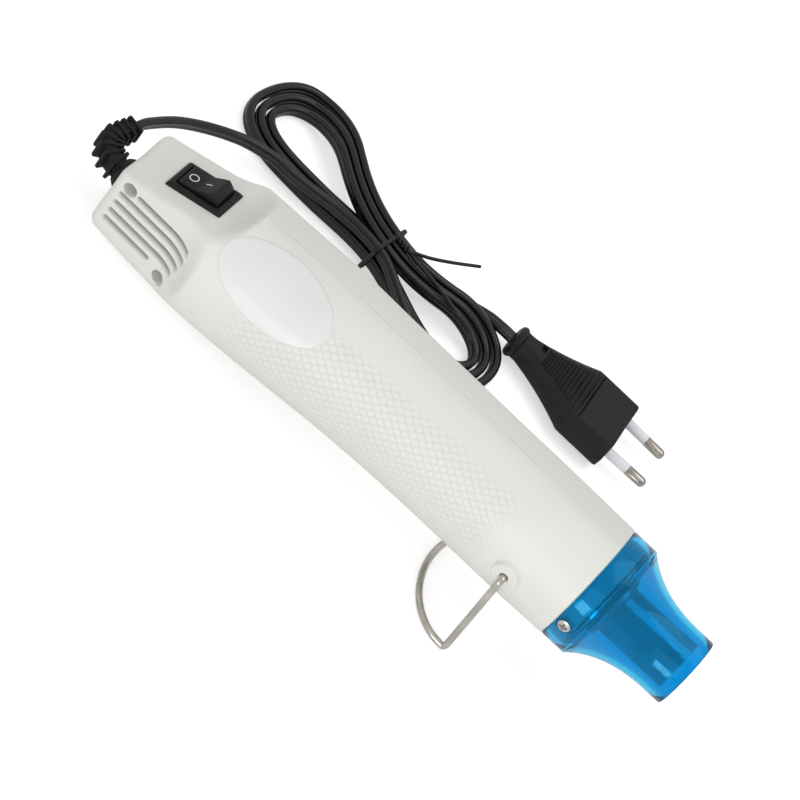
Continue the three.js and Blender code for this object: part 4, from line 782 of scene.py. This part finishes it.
coil = grown("coil", coil_tree, [(0, 0, 0)], {
    "Turns": 8.0, "Radius": 7.3 * MM, "Length": 35.4 * MM, "Wire": 0.45 * MM, "Metal": resistance_wire,
    "Start": tuple(from_tool(COIL_START)[0] * MM), "Turn": (0, math.pi / 2 - TOOL_LEAN, 0)})
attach(coil, "body")
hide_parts("heater_coil")
dress(skinned("mica_sheet", (168, 146, 104), (212, 194, 154), (0.4, 0.62), 700.0, 240.0),
      "mica_sleeve", "mica_plate_upright", "mica_plate_level")
dress(skinned("fired_ceramic", (222, 217, 206), (238, 234, 225), (0.6, 0.75)), "heater_base")
dress(worn_metal("tinned_fuse", (176, 178, 180), (214, 216, 218), (0.25, 0.4)), "thermal_fuse")

# Blower: a small direct current motor with a fan on its shaft, held in a ring in the housing's bore,
# and a board with four diodes that feeds it. None of it shows, but each piece has its own material.
dress(worn_metal("zinc_can", (166, 168, 168), (206, 208, 208), (0.3, 0.48), 900.0, 160.0), "motor_can")
dress(skinned("cap_nylon", (30, 30, 32), (44, 44, 46), (0.5, 0.6)), "motor_end_cap")
dress(worn_metal("sintered_bronze", (140, 104, 62), (182, 144, 96), (0.4, 0.6), 3000.0),
      "motor_bearing_front", "motor_bearing_rear")
dress(skinned("ferrite", (46, 45, 44), (66, 65, 63), (0.55, 0.7)), "motor_magnet_upper", "motor_magnet_lower")
dress(worn_metal("ground_shaft", (184, 184, 184), (220, 220, 220), (0.16, 0.28)), "motor_shaft")
dress(worn_metal("copper_winding", (140, 74, 36), (196, 116, 66), (0.28, 0.42), 600.0, 420.0), "motor_armature")
dress(skinned("fan_black", (34, 34, 36), (46, 46, 49), (0.42, 0.54)), "fan_impeller")
dress(skinned("mount_plastic", (206, 206, 198), (224, 224, 216), (0.45, 0.6)), "motor_mount")
dress(skinned("board_laminate", (92, 70, 34), (132, 104, 58), (0.5, 0.65), 500.0, 200.0), "rectifier_board")
dress(skinned("diode_epoxy", (26, 26, 28), (38, 38, 40), (0.4, 0.55)),
      "rectifier_diode_1", "rectifier_diode_2", "rectifier_diode_3", "rectifier_diode_4")

# Nozzle guard: one moulding of clear blue plastic, polished, that slips over the housing's neck.
# It narrows from a straight rim to the outlet, and two small screws hold it.
GUARD_START, GUARD_RIM, GUARD_END, GUARD_WALL = 207.3, 217.2, 252.2, 2.0
GUARD_RADIUS, OUTLET_RADIUS, GUARD_THROAT, OUTLET_START = 23.1, 13.6, 227.6, 245.7
GUARD_INNER = GUARD_RADIUS - GUARD_WALL
CLAMP_RADIUS, CLAMP_DEEP, CLAMP_BACK = 19.5, 20.3, 1.3
SCREW_SEATS = ((((22.1, 2.8), (25, 2.85)), 32), (((18, 1.4), (22.6, 1.4)), 20))


def guard_curve(wall):
    """The guard's narrowing line, from the rim to the outlet, by how far it lies inside the outer face."""
    t = np.linspace(0, 1, 30)
    x = (1 - t) ** 2 * GUARD_RIM + 2 * t * (1 - t) * GUARD_THROAT + t * t * OUTLET_START
    r = (1 - t) ** 2 * GUARD_RADIUS + (1 - (1 - t) ** 2) * OUTLET_RADIUS
    slope = np.gradient(r, x)
    size = np.sqrt(1 + slope**2)
    return np.column_stack((x + wall * slope / size, r - wall / size))


guard_inside = guard_curve(GUARD_WALL)
guard_inside = guard_inside[guard_inside[:, 0] > GUARD_RIM + 0.2]
guard_line = np.vstack((
    (GUARD_START, GUARD_INNER), (GUARD_START, GUARD_RADIUS - 0.35), (GUARD_START + 0.1, GUARD_RADIUS - 0.1),
    (GUARD_START + 0.35, GUARD_RADIUS), guard_curve(0.0),
    (GUARD_END - 0.5, OUTLET_RADIUS), (GUARD_END - 0.15, OUTLET_RADIUS - 0.15),
    (GUARD_END, OUTLET_RADIUS - 0.5), (GUARD_END, OUTLET_RADIUS - 1.5),
    (GUARD_END - 0.15, OUTLET_RADIUS - 1.85), (GUARD_END - 0.5, OUTLET_RADIUS - GUARD_WALL),
    guard_inside[::-1], (GUARD_RIM, CLAMP_DEEP), (GUARD_RIM, CLAMP_RADIUS),
    (GUARD_RIM - CLAMP_BACK, CLAMP_RADIUS), (GUARD_RIM - CLAMP_BACK, GUARD_INNER)))
guard_blue = skinned(
    "guard_blue", (0.001, 0.44, 0.74, 1), (0.003, 0.48, 0.78, 1), (0.02, 0.04), 45.0, 40.0, 0.000002, 0.3)
feed(guard_blue.node_tree, guard_blue.node_tree.nodes["Principled BSDF"],
     Transmission_Weight=0.95, IOR=1.49, Specular_Tint=(0.2, 0.7, 1.0, 1))
guard = add_piece("guard", turned(guard_line, 128), guard_blue, 42)
seats = [cross_turn(GUARD_SCREW_X, 0, profile, count) for profile, count in SCREW_SEATS]
combine(guard, joined([placed(seat, side) for seat in seats for side in (-1, 1)]), "DIFFERENCE")
smoothed(guard.data, 42)
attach(guard, "body")
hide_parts("nozzle_guard")

# Wire stand: one length of bright nickelled wire, bent into two legs and a round foot.
# Its ends spring into the two bosses on the housing, and it folds forward about them.
STAND_PIVOT = from_tool((STAND_X, 0, 0))[0]
WIRE_RADIUS, WIRE_TIP, WIRE_LEG, WIRE_LEAN = 1.25, 22.0, 27.9, math.radians(8.4)
WIRE_BEND, FOOT_BEND, FOOT_DEPTH = 2.3, 3.0, 24.4


def frames_along(points, upward=None):
    """Unit side and up directions at each point of a line: square to a given way up, or carried along."""
    tangent = np.gradient(points, axis=0)
    tangent /= np.linalg.norm(tangent, axis=1)[:, None]
    if upward is not None:
        side = np.cross(tangent, upward)
    else:
        side = np.zeros_like(tangent)
        side[0] = np.cross(tangent[0], (0.3, 0.2, 1.0))
        for i in range(1, len(tangent)):
            side[i] = side[i - 1] - tangent[i] * (side[i - 1] @ tangent[i])
    side /= np.linalg.norm(side, axis=1)[:, None]
    return side, np.cross(side, tangent)


def swept(points, section, upward=None, sizes=None, rolls=None):
    """A tube along a line: a section of pairs (side, up), with its own size and roll at each point."""
    points = np.asarray(points, float)
    side, up = frames_along(points, upward)
    rings = []
    for i, point in enumerate(points):
        a, b = section.T * (1.0 if sizes is None else sizes[i])
        roll = 0.0 if rolls is None else rolls[i]
        across = side[i] * math.cos(roll) + up[i] * math.sin(roll)
        along_up = up[i] * math.cos(roll) - side[i] * math.sin(roll)
        rings.append(point + a[:, None] * across + b[:, None] * along_up)
    return loft(rings)


leg_length = (STAND_PIVOT[2] - WIRE_RADIUS) / math.cos(WIRE_LEAN)
leg_foot = np.array((leg_length * math.sin(WIRE_LEAN), -WIRE_LEG, -leg_length * math.cos(WIRE_LEAN)))
stand_half = rounded(
    ((0, -WIRE_TIP, 0), (0, -WIRE_LEG, 0), leg_foot, leg_foot - (FOOT_BEND + 0.01, 0, 0)),
    (0, WIRE_BEND, FOOT_BEND, 0), 10, closed=False)[:-1]
foot_turn = np.linspace(0, math.pi / 2, 25)[1:]
stand_foot = np.column_stack((
    leg_foot[0] - FOOT_BEND - (FOOT_DEPTH - FOOT_BEND) * np.sin(foot_turn), -WIRE_LEG * np.cos(foot_turn),
    np.full(len(foot_turn), leg_foot[2])))
stand_half = np.vstack((stand_half, stand_foot))
stand_line = np.vstack((stand_half, stand_half[-2::-1] * (1, -1, 1))) + STAND_PIVOT
bright_wire = worn_metal("bright_wire", (166, 160, 151), (222, 216, 207), (0.12, 0.22), 2200.0, 220.0)
stand = add_piece("stand", swept(stand_line, circle(WIRE_RADIUS, 24)), bright_wire)
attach(stand, "stand")
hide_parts("wire_stand")

# Strain relief: a moulded rubber boot with a flange against the rear wall, and a ladder of blocks on a
# thin upright spine, so that it bends in a soft curve to the side.
BOOT_TURN = math.radians(102)
BOOT_BEND, BOOT_BEND_START, BOOT_TAIL = 8, -5.3, 8.5
SPINE_WIDTH, SPINE_HEIGHT, SPINE_ROUND, SPINE_TAPER, SPINE_ROOT = 4.6, 7.6, 0.7, 0.2, 6
FLANGE_LINE = ((4.7, 1.0), (4.7, 6.1), (2.7, 6.1), (2.7, 4.7), (-0.04, 4.7), (-0.04, 6.2), (-0.25, 6.3),
               (-1.6, 6.1), (-2.6, 5.4), (-3.4, 4.8), (-3.6, 4.4), (-3.6, 1.0))
BLOCK_RINGS = ((8.5, 8.1, 0.8, -0.6), (8.9, 8.5, 0.9, -0.45), (8.9, 8.5, 0.9, 0.45), (8.5, 8.1, 0.8, 0.6))
LADDER_START = 5.5


def run_along(points):
    """The way run along a line, up to each of its points."""
    return np.concatenate(((0,), np.cumsum(np.linalg.norm(np.diff(points, axis=0), axis=1))))


boot_rubber = skinned("boot_rubber", (20, 20, 22), (29, 29, 32), (0.5, 0.62), 2000.0, 90.0, 0.00002, 0.22)
boot_arc = np.linspace(0, BOOT_TURN, 21)
boot_onward = np.array((-math.cos(BOOT_TURN), math.sin(BOOT_TURN), 0))
boot_line = np.vstack((
    [(x, 0, BOOT_DROP) for x in (0.4, -1.3, -3.3)],
    np.column_stack((BOOT_BEND_START - BOOT_BEND * np.sin(boot_arc), BOOT_BEND - BOOT_BEND * np.cos(boot_arc),
                     np.full(21, BOOT_DROP)))))
boot_line = np.vstack((boot_line, [boot_line[-1] + boot_onward * BOOT_TAIL * t for t in (0.25, 0.5, 0.75, 1)]))
boot_world = from_tool(boot_line)
boot_run = run_along(boot_line)
boot_share = np.clip((boot_run - SPINE_ROOT) / (boot_run[-1] - SPINE_ROOT), 0, 1)
tool_up = np.array((-math.sin(TOOL_LEAN), 0, math.cos(TOOL_LEAN)))
spine_section = rounded_rect(SPINE_WIDTH, SPINE_HEIGHT, SPINE_ROUND, 0)[:, :2]
spine = swept(boot_world, spine_section, tool_up, sizes=1 - SPINE_TAPER * boot_share)
flange = moved(loft(rings_about(0, FLANGE_LINE, 48, (0, 0, BOOT_DROP))), from_tool)
boot = add_piece("boot", joined((spine, flange)), boot_rubber, 36)
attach(boot, "body")
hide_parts("strain_relief")

# The ladder's blocks: one tree sets a block out along the boot's line, smaller toward the tip
rib_tree, rib_in, rib_out = geometry_tree(
    "ribs_on_path", Rib="Object", Count="Int", Root="Float", Tip="Float", Rubber="Material")
rib_curve = put(rib_tree, "GeometryNodeMeshToCurve", Mesh=rib_in["Geometry"])
rib_spots = put(rib_tree, "GeometryNodeCurveToPoints", Curve=rib_curve.outputs[0], Count=rib_in["Count"])
rib_form = put(rib_tree, "GeometryNodeObjectInfo", Object=rib_in["Rib"])
rib_index = put(rib_tree, "GeometryNodeInputIndex").outputs[0]
rib_share = reckon(rib_tree, "DIVIDE", rib_index, reckon(rib_tree, "SUBTRACT", rib_in["Count"], 1.0))
rib_size = put(rib_tree, "ShaderNodeMapRange",
               Value=rib_share, To_Min=rib_in["Root"], To_Max=rib_in["Tip"]).outputs[0]
rib_along = put(rib_tree, "FunctionNodeAlignRotationToVector", {"axis": "Z"},
                Vector=rib_spots.outputs["Tangent"])
rib_aim = put(rib_tree, "FunctionNodeAlignRotationToVector", {"axis": "Y", "pivot_axis": "Z"},
              Rotation=rib_along.outputs[0], Vector=tuple(tool_up))
ribs_set = put(rib_tree, "GeometryNodeInstanceOnPoints", Points=rib_spots.outputs[0],
               Instance=rib_form.outputs["Geometry"], Rotation=rib_aim.outputs[0],
               Scale=vector(rib_tree, X=rib_size, Y=rib_size, Z=1.0))
finish_tree(rib_tree, ribs_set.outputs[0], rib_in["Rubber"], rib_out)
rib = add_piece("rib", loft([rounded_rect(*ring) for ring in BLOCK_RINGS]), boot_rubber)
ladder_line = boot_world[boot_run > LADDER_START]
ribs = grown(
    "boot_ribs", rib_tree, ladder_line,
    {"Rib": rib, "Count": 8, "Root": 1.05, "Tip": 0.84, "Rubber": boot_rubber},
    edges=[(i, i + 1) for i in range(len(ladder_line) - 1)])
bpy.data.objects.remove(rib)
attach(ribs, "body")

# Lead: flat two core flex with a black sheath, from the boot into a hank of three turns and on to the plug.
# It stands on its edge where it is wound, and turns flat on its way to the plug. One tube from end to end.
CORD_WIDTH, CORD_CORE, CORD_SPACING, CORD_STEP = 5.2, 1.65, 0.95, 1.3
HANK_PLACE = np.array((-48.3, 82.0, 0.0))
HANK_TURN = math.radians(-7.5)
HANK_TURNS, HANK_START, HANK_PITCH = 3.09, math.radians(232), 4.15
HANK_REAR, HANK_FRONT, HANK_SHRINK, HANK_WAIST = 74.0, 61.8, 4.0, 14.5
SWELL_FAR_REAR, SWELL_FAR_FRONT, SWELL_NEAR = (53.4, 7.5), (28.0, 6.0), (28.0, 4.0)
HANK_STACK, HANK_DRAWN, HANK_HUMP, FIRST_RUN = 6.2, 10.0, 2.3, 0.36
BOOT_TIP = boot_world[-1]
PLUG_PLACE = np.array((60.0, 101.0, 6.85))
PLUG_TURN = math.radians(5)
PLUG_REACH = 52.0
LEAD_POINTS = ((-133.4, 29, 16.4), (-129.9, 36.9, 15), (-125.7, 44.3, 13.2), (-120.1, 51.7, 11.6),
               (-114, 58.2, 10.3), (-107.4, 63.6, 9.3))
TAIL_POINTS = ((-43.2, 80.9, 4.4), (-32.6, 84.4, 3.5), (-21.8, 90.1, 2.75), (-11.6, 95.2, 3.1),
               (-2.6, 96.8, 5.2))
TAIL_TWIST = 26


def smoothstep(value, low, high):
    """0 below one value and 1 above another, with a soft change between."""
    t = np.clip((value - low) / (high - low), 0, 1)
    return t * t * (3 - 2 * t)


def hump(value, rise_from, rise_to, fall_from, fall_to):
    """A soft rise to 1, and a soft fall back to 0."""
    return smoothstep(value, rise_from, rise_to) * (1 - smoothstep(value, fall_from, fall_to))


def swung(points, angle, place):
    """Points swung about the upright, then set at a place."""
    p = np.asarray(points, float).reshape(-1, 3)
    cos, sin = math.cos(angle), math.sin(angle)
    return np.column_stack((p[:, 0] * cos - p[:, 1] * sin, p[:, 0] * sin + p[:, 1] * cos, p[:, 2])) + place


def from_hank(points):
    """Points along, across and above the hank's own middle as points of the table."""
    return swung(points, HANK_TURN, HANK_PLACE)


def from_plug(points):
    """Points about the plug's front face as points of the table."""
    return swung(points, PLUG_TURN, PLUG_PLACE)


def hank_points(turns):
    """The hank's line by turns made: long loops drawn in at the waist, the far runs over the near ones.

    The first run comes in on top of its neighbour, and drops beside it beyond the tie.
    """
    angle = HANK_START + 2 * math.pi * turns
    cos, sin = np.cos(angle), np.sin(angle)
    far, rear, first = sin > 0, cos < 0, turns < FIRST_RUN
    along = (np.where(rear, HANK_REAR, HANK_FRONT) - HANK_SHRINK * turns) * cos
    far_rear, far_front, near = (
        most - less * turns for most, less in (SWELL_FAR_REAR, SWELL_FAR_FRONT, SWELL_NEAR))
    swell = np.where(far, np.where(rear, far_rear, far_front), near)
    across = sin * (HANK_WAIST - HANK_PITCH * turns + swell * cos**2)
    raised = HANK_STACK * hump(along, -60, -34, 30, 56)
    drawn = HANK_DRAWN * hump(along, -56, 4, 6, 56)
    lift = HANK_HUMP * (1 - smoothstep(np.abs(along), 0, 30))
    aside = HANK_PITCH * hump(along, -46, -14, 2, 26)
    ridden = HANK_STACK * (1 - smoothstep(along, 22, 54))
    return from_hank(np.column_stack((
        along, across - np.where(far, drawn, 0) + np.where(first, aside, 0),
        CORD_WIDTH / 2 + np.where(far, raised, 0) + np.where(first, ridden, 0) + lift)))


def evenly(points, step):
    """A smooth line through points, at even steps."""
    points = np.asarray(points, float)
    knots = np.concatenate(((0,), np.cumsum(np.linalg.norm(np.diff(points, axis=0), axis=1) ** 0.5)))
    fine = np.linspace(0, knots[-1], 40 * len(points))
    dense = np.column_stack([smooth_line(knots, points[:, k])(fine) for k in range(3)])
    run = run_along(dense)
    even = np.linspace(0, run[-1], int(run[-1] / step) + 1)
    return np.column_stack([np.interp(even, run, dense[:, k]) for k in range(3)])


hank_line = hank_points(np.linspace(0, HANK_TURNS, 211))
hank_out = hank_line[-1] - hank_line[-2]
hank_out /= np.linalg.norm(hank_out)
boot_way = from_tool(boot_onward)[0] - TOOL_REAR
plug_entry = from_plug((-PLUG_REACH - 0.3, 0, 0))[0]
plug_way = from_plug((0, 0, 0))[0] - from_plug((-1, 0, 0))[0]
cord_line = evenly(np.vstack((
    BOOT_TIP - 1.5 * boot_way, BOOT_TIP + 0.3 * boot_way, BOOT_TIP + 5.5 * boot_way, LEAD_POINTS,
    hank_line, hank_line[-1] + 5.5 * hank_out, TAIL_POINTS, plug_entry - 5.2 * plug_way, plug_entry,
    plug_entry + 2.0 * plug_way)), CORD_STEP)
cord_run = run_along(cord_line)
tail_start = cord_run[np.argmin(np.linalg.norm(cord_line - hank_line[-1], axis=1))]
cord_rolls = math.pi / 2 * smoothstep(cord_run, tail_start, tail_start + TAIL_TWIST)
groove = math.asin(CORD_SPACING / CORD_CORE)
core_turn = np.linspace(-groove, math.pi + groove, 14)
upper_core = np.column_stack((CORD_CORE * np.cos(core_turn), CORD_SPACING + CORD_CORE * np.sin(core_turn)))
cord_section = np.vstack((upper_core, -upper_core[1:-1]))
cord_sheath = skinned("cord_sheath", (9, 9, 11), (16, 16, 18), (0.18, 0.27), 700.0, 120.0, 0.000004, 0.46)
cord = add_piece("lead", swept(cord_line, cord_section, (0, 0, 1), rolls=cord_rolls), cord_sheath, 60)

# Twist tie: plastic coated wire, a little flattened, drawn round the hank's waist.
# Its two ends are twisted together on top and left long.
TIE_ALONG = 1.0
TIE_KNOT = (-0.85, -1.5, 14.85)
TIE_LOOP = ((-13.15, 0.85), (4.79, 0.85), (4.79, 14.85), (-13.15, 14.85))
TIE_ROUND, TIE_RADIUS, TIE_FLAT = 2.6, 0.85, 0.7
TWIST_LENGTH, TWIST_TURNS, TWIST_RADIUS = 7.85, 2.5, 0.72
STRAND_RADIUS, STRAND_FLAT = 0.8, 0.8
TIE_ENDS = (((8, 0.6, 0.6), (12.5, 5.2, 0.5), (18, 13, 0), (25.5, 25.3, -0.8)),
            ((8, -0.8, 0.4), (17, 0.8, -0.6), (26, 2, -1.6), (35, 2.8, -3)))
tie_grey = skinned("tie_grey", (22, 22, 25), (34, 34, 38), (0.3, 0.42), 1500.0, 150.0, 0.000006, 0.35)
tie_loop = rounded([(TIE_ALONG, across, height) for across, height in TIE_LOOP], TIE_ROUND, 8)
tie_next = np.roll(tie_loop, -1, axis=0) - np.roll(tie_loop, 1, axis=0)
tie_next /= np.linalg.norm(tie_next, axis=1)[:, None]
tie_side = np.array((1.0, 0.0, 0.0))
tie_out = np.cross(tie_next, tie_side)
tie_oval = circle(TIE_RADIUS, 16, TIE_FLAT)
tie_rings = [from_hank(point + tie_oval[:, 1:] * tie_side + tie_oval[:, :1] * out)
             for point, out in zip(tie_loop, tie_out)]
tie_forms = [loft(tie_rings + tie_rings[:1], caps=False)]
twist = np.linspace(0, 1, 60)
for phase, end in zip((0.0, math.pi), TIE_ENDS):
    angle = phase + 2 * math.pi * TWIST_TURNS * twist
    radius = TWIST_RADIUS * smoothstep(twist, 0, 0.08)
    strand = np.column_stack((TIE_ALONG + TIE_KNOT[0] + TWIST_LENGTH * twist,
                              TIE_KNOT[1] + radius * np.cos(angle), TIE_KNOT[2] + radius * np.sin(angle)))
    free = evenly(np.array(end) + (TIE_ALONG, TIE_KNOT[1], TIE_KNOT[2]), 0.8)
    whole = evenly(np.vstack((strand[::3], free[2:])), 0.5)
    tie_forms.append(swept(from_hank(whole), circle(STRAND_RADIUS, 14, STRAND_FLAT)))
tie = add_piece("tie", joined(tie_forms), tie_grey, 50)
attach(tie, "body")
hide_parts("cord_tie")

# Plug: one moulding on the end of the lead: a rounded collar, a neck with flats, a fan of finger ridges on
# the two flat faces, and a six sided head that carries the pins.
PLUG_WIDTH, PLUG_HEIGHT, PLUG_NECK, PLUG_PINCH = 17.6, 6.85, 5.7, 4.0
PLUG_HEAD, PLUG_TAPER, COLLAR_END = -19.0, -46.0, -48.5
NECK_CORNER, SIDE_CORNER, TOP_CORNER = 0.41, 0.28, 0.7
RIDGE_FROM, RIDGE_TO, RIDGE_COUNT, RIDGE_FAN, RIDGE_STEP = -39.0, -16.5, 14, 0.38, 0.12
COLLAR_LINE = ((-52.0, 2.0), (-52.0, 5.0), (-51.85, 5.6), (-51.4, 6.2), (-50.8, 6.5), (-50.3, 6.6),
               (-49.8, 6.5), (-49.2, 6.2), (-48.8, 5.8), (-48.65, 5.5))
FACE_ROUND = ((-0.7, 0.05), (-0.35, 0.2), (-0.1, 0.5), (0.0, 0.95))
POCKET_PLACE, POCKET_LENGTH, POCKET_WIDTH, POCKET_ROUND = (-41.1, 1.2, 0), 2.2, 3.2, 0.3
PLUG_SIDES = 144
plug_black = skinned("plug_black", (25, 26, 28), (32, 33, 36), (0.44, 0.54), depth=0.00002, gleam=0.24)
plug_turn = np.linspace(0, 2 * math.pi, PLUG_SIDES, endpoint=False)


def plug_section(x):
    """The plug's reach all round, at a distance behind its front face."""
    cos, sin = np.abs(np.cos(plug_turn)), np.abs(np.sin(plug_turn))
    grow = np.clip((x - PLUG_TAPER) / (PLUG_HEAD - PLUG_TAPER), 0, 1)
    width = PLUG_NECK + (PLUG_WIDTH - PLUG_NECK) * grow - PLUG_PINCH * grow * (1 - grow)
    height = PLUG_NECK + (PLUG_HEIGHT - PLUG_NECK) * grow
    side_corner = NECK_CORNER + (SIDE_CORNER - NECK_CORNER) * grow
    top_corner = NECK_CORNER + (TOP_CORNER - NECK_CORNER) * grow
    across, upward = height * (1 - side_corner), width * (1 - top_corner)
    slant = (across * width + upward * height * side_corner) / np.maximum(across * cos + upward * sin, 1e-6)
    flat = height / np.maximum(sin, 1e-3)
    reach = soft_least(soft_least(width / np.maximum(cos, 1e-3), flat, 1.0), slant, 0.9)
    share = (x - RIDGE_FROM) / (RIDGE_TO - RIDGE_FROM)
    if 0 < share < 1:
        phase = RIDGE_COUNT * ((1 + RIDGE_FAN) * share - RIDGE_FAN * share**2)
        depth = 1.1 * (0.6 + 0.4 * share)
        on_flat = smoothstep(slant - flat, -2.3, -0.7)
        reach = reach - on_flat * depth * smoothstep(abs((phase % 1.0) - 0.5), 0.12, 0.4)
    return reach


plug_steps = np.concatenate((
    np.linspace(COLLAR_END, RIDGE_FROM, 12)[:-1], np.arange(RIDGE_FROM, RIDGE_TO, RIDGE_STEP),
    np.linspace(RIDGE_TO, -1.0, 14)))
plug_profile = list(COLLAR_LINE) + [(x, plug_section(x)) for x in plug_steps]
plug_profile += [(x, plug_section(0.0) - inset) for x, inset in FACE_ROUND]
plug = add_piece("plug", moved(loft(rings_about(0, plug_profile, PLUG_SIDES)), from_plug), plug_black, 32)
pocket = loft([rounded_rect(POCKET_LENGTH, POCKET_WIDTH, POCKET_ROUND, height) + POCKET_PLACE
               for height in (4.4, 9.0)])
combine(plug, moved(pocket, from_plug), "DIFFERENCE")

# Pins: nickelled round pins with a rounded tip, set in the plug's face and toed in a little.
# The rear half of each is in a pale insulating sleeve.
PIN_SPREAD, PIN_TOE, PIN_RADIUS, PIN_SLEEVE, PIN_LENGTH = 18.6, math.radians(1.6), 2.0, 10.3, 19.0
TIP_ROUND = 1.7
TIP_START, TIP_CORE = PIN_LENGTH - TIP_ROUND, PIN_RADIUS - TIP_ROUND
PIN_SEAT = ((-1.2, 2.3), (1.0, 2.3))
PIN_LINE = [(PIN_SLEEVE + 0.02, 1.6), (PIN_SLEEVE + 0.02, 1.9), (PIN_SLEEVE + 0.15, PIN_RADIUS)]
PIN_LINE += [(TIP_START + TIP_ROUND * math.sin(turn), TIP_CORE + TIP_ROUND * math.cos(turn))
             for turn in np.radians(np.linspace(0, 84, 8))]
SLEEVE_LINE = ((-0.9, 1.0), (-0.9, PIN_RADIUS), (PIN_SLEEVE - 0.2, PIN_RADIUS), (PIN_SLEEVE - 0.05, 1.95),
               (PIN_SLEEVE, 1.85), (PIN_SLEEVE, 1.0))
pin_nickel = worn_metal("pin_nickel", (140, 133, 124), (196, 189, 180), (0.12, 0.22), 1500.0, 260.0)
sleeve_grey = skinned(
    "sleeve_grey", (236, 236, 242), (243, 243, 248), (0.36, 0.48), cloud=120.0, depth=0.000006)


def pin_form(profile, side):
    """A round form along a pin, from pairs of distance out and radius."""
    rings = []
    for out, radius in profile:
        middle = side * (PIN_SPREAD / 2 - out * math.sin(PIN_TOE))
        rings += rings_about(0, ((out * math.cos(PIN_TOE), radius),), 40, (0, middle, 0))
    return moved(loft(rings), from_plug)


plug_pieces = []
for number, side in ((1, 1), (2, -1)):
    combine(plug, pin_form(PIN_SEAT, side), "DIFFERENCE")
    pin = add_piece(f"pin_{number}", pin_form(PIN_LINE, side), pin_nickel, 40)
    sleeve = add_piece(f"pin_sleeve_{number}", pin_form(SLEEVE_LINE, side), sleeve_grey, 40)
    for piece, node, finish in ((pin, "plug_pin_", "nickel"), (sleeve, "plug_pin_sleeve_", "pin_sleeve")):
        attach(piece, "body")
        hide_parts(f"{node}{number}")
    plug_pieces += [pin, sleeve]
smoothed(plug.data, 32)
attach(plug, "body")
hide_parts("plug_body")
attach(cord, "body")
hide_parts("cord_lead", "cord_hank", "cord_tail")
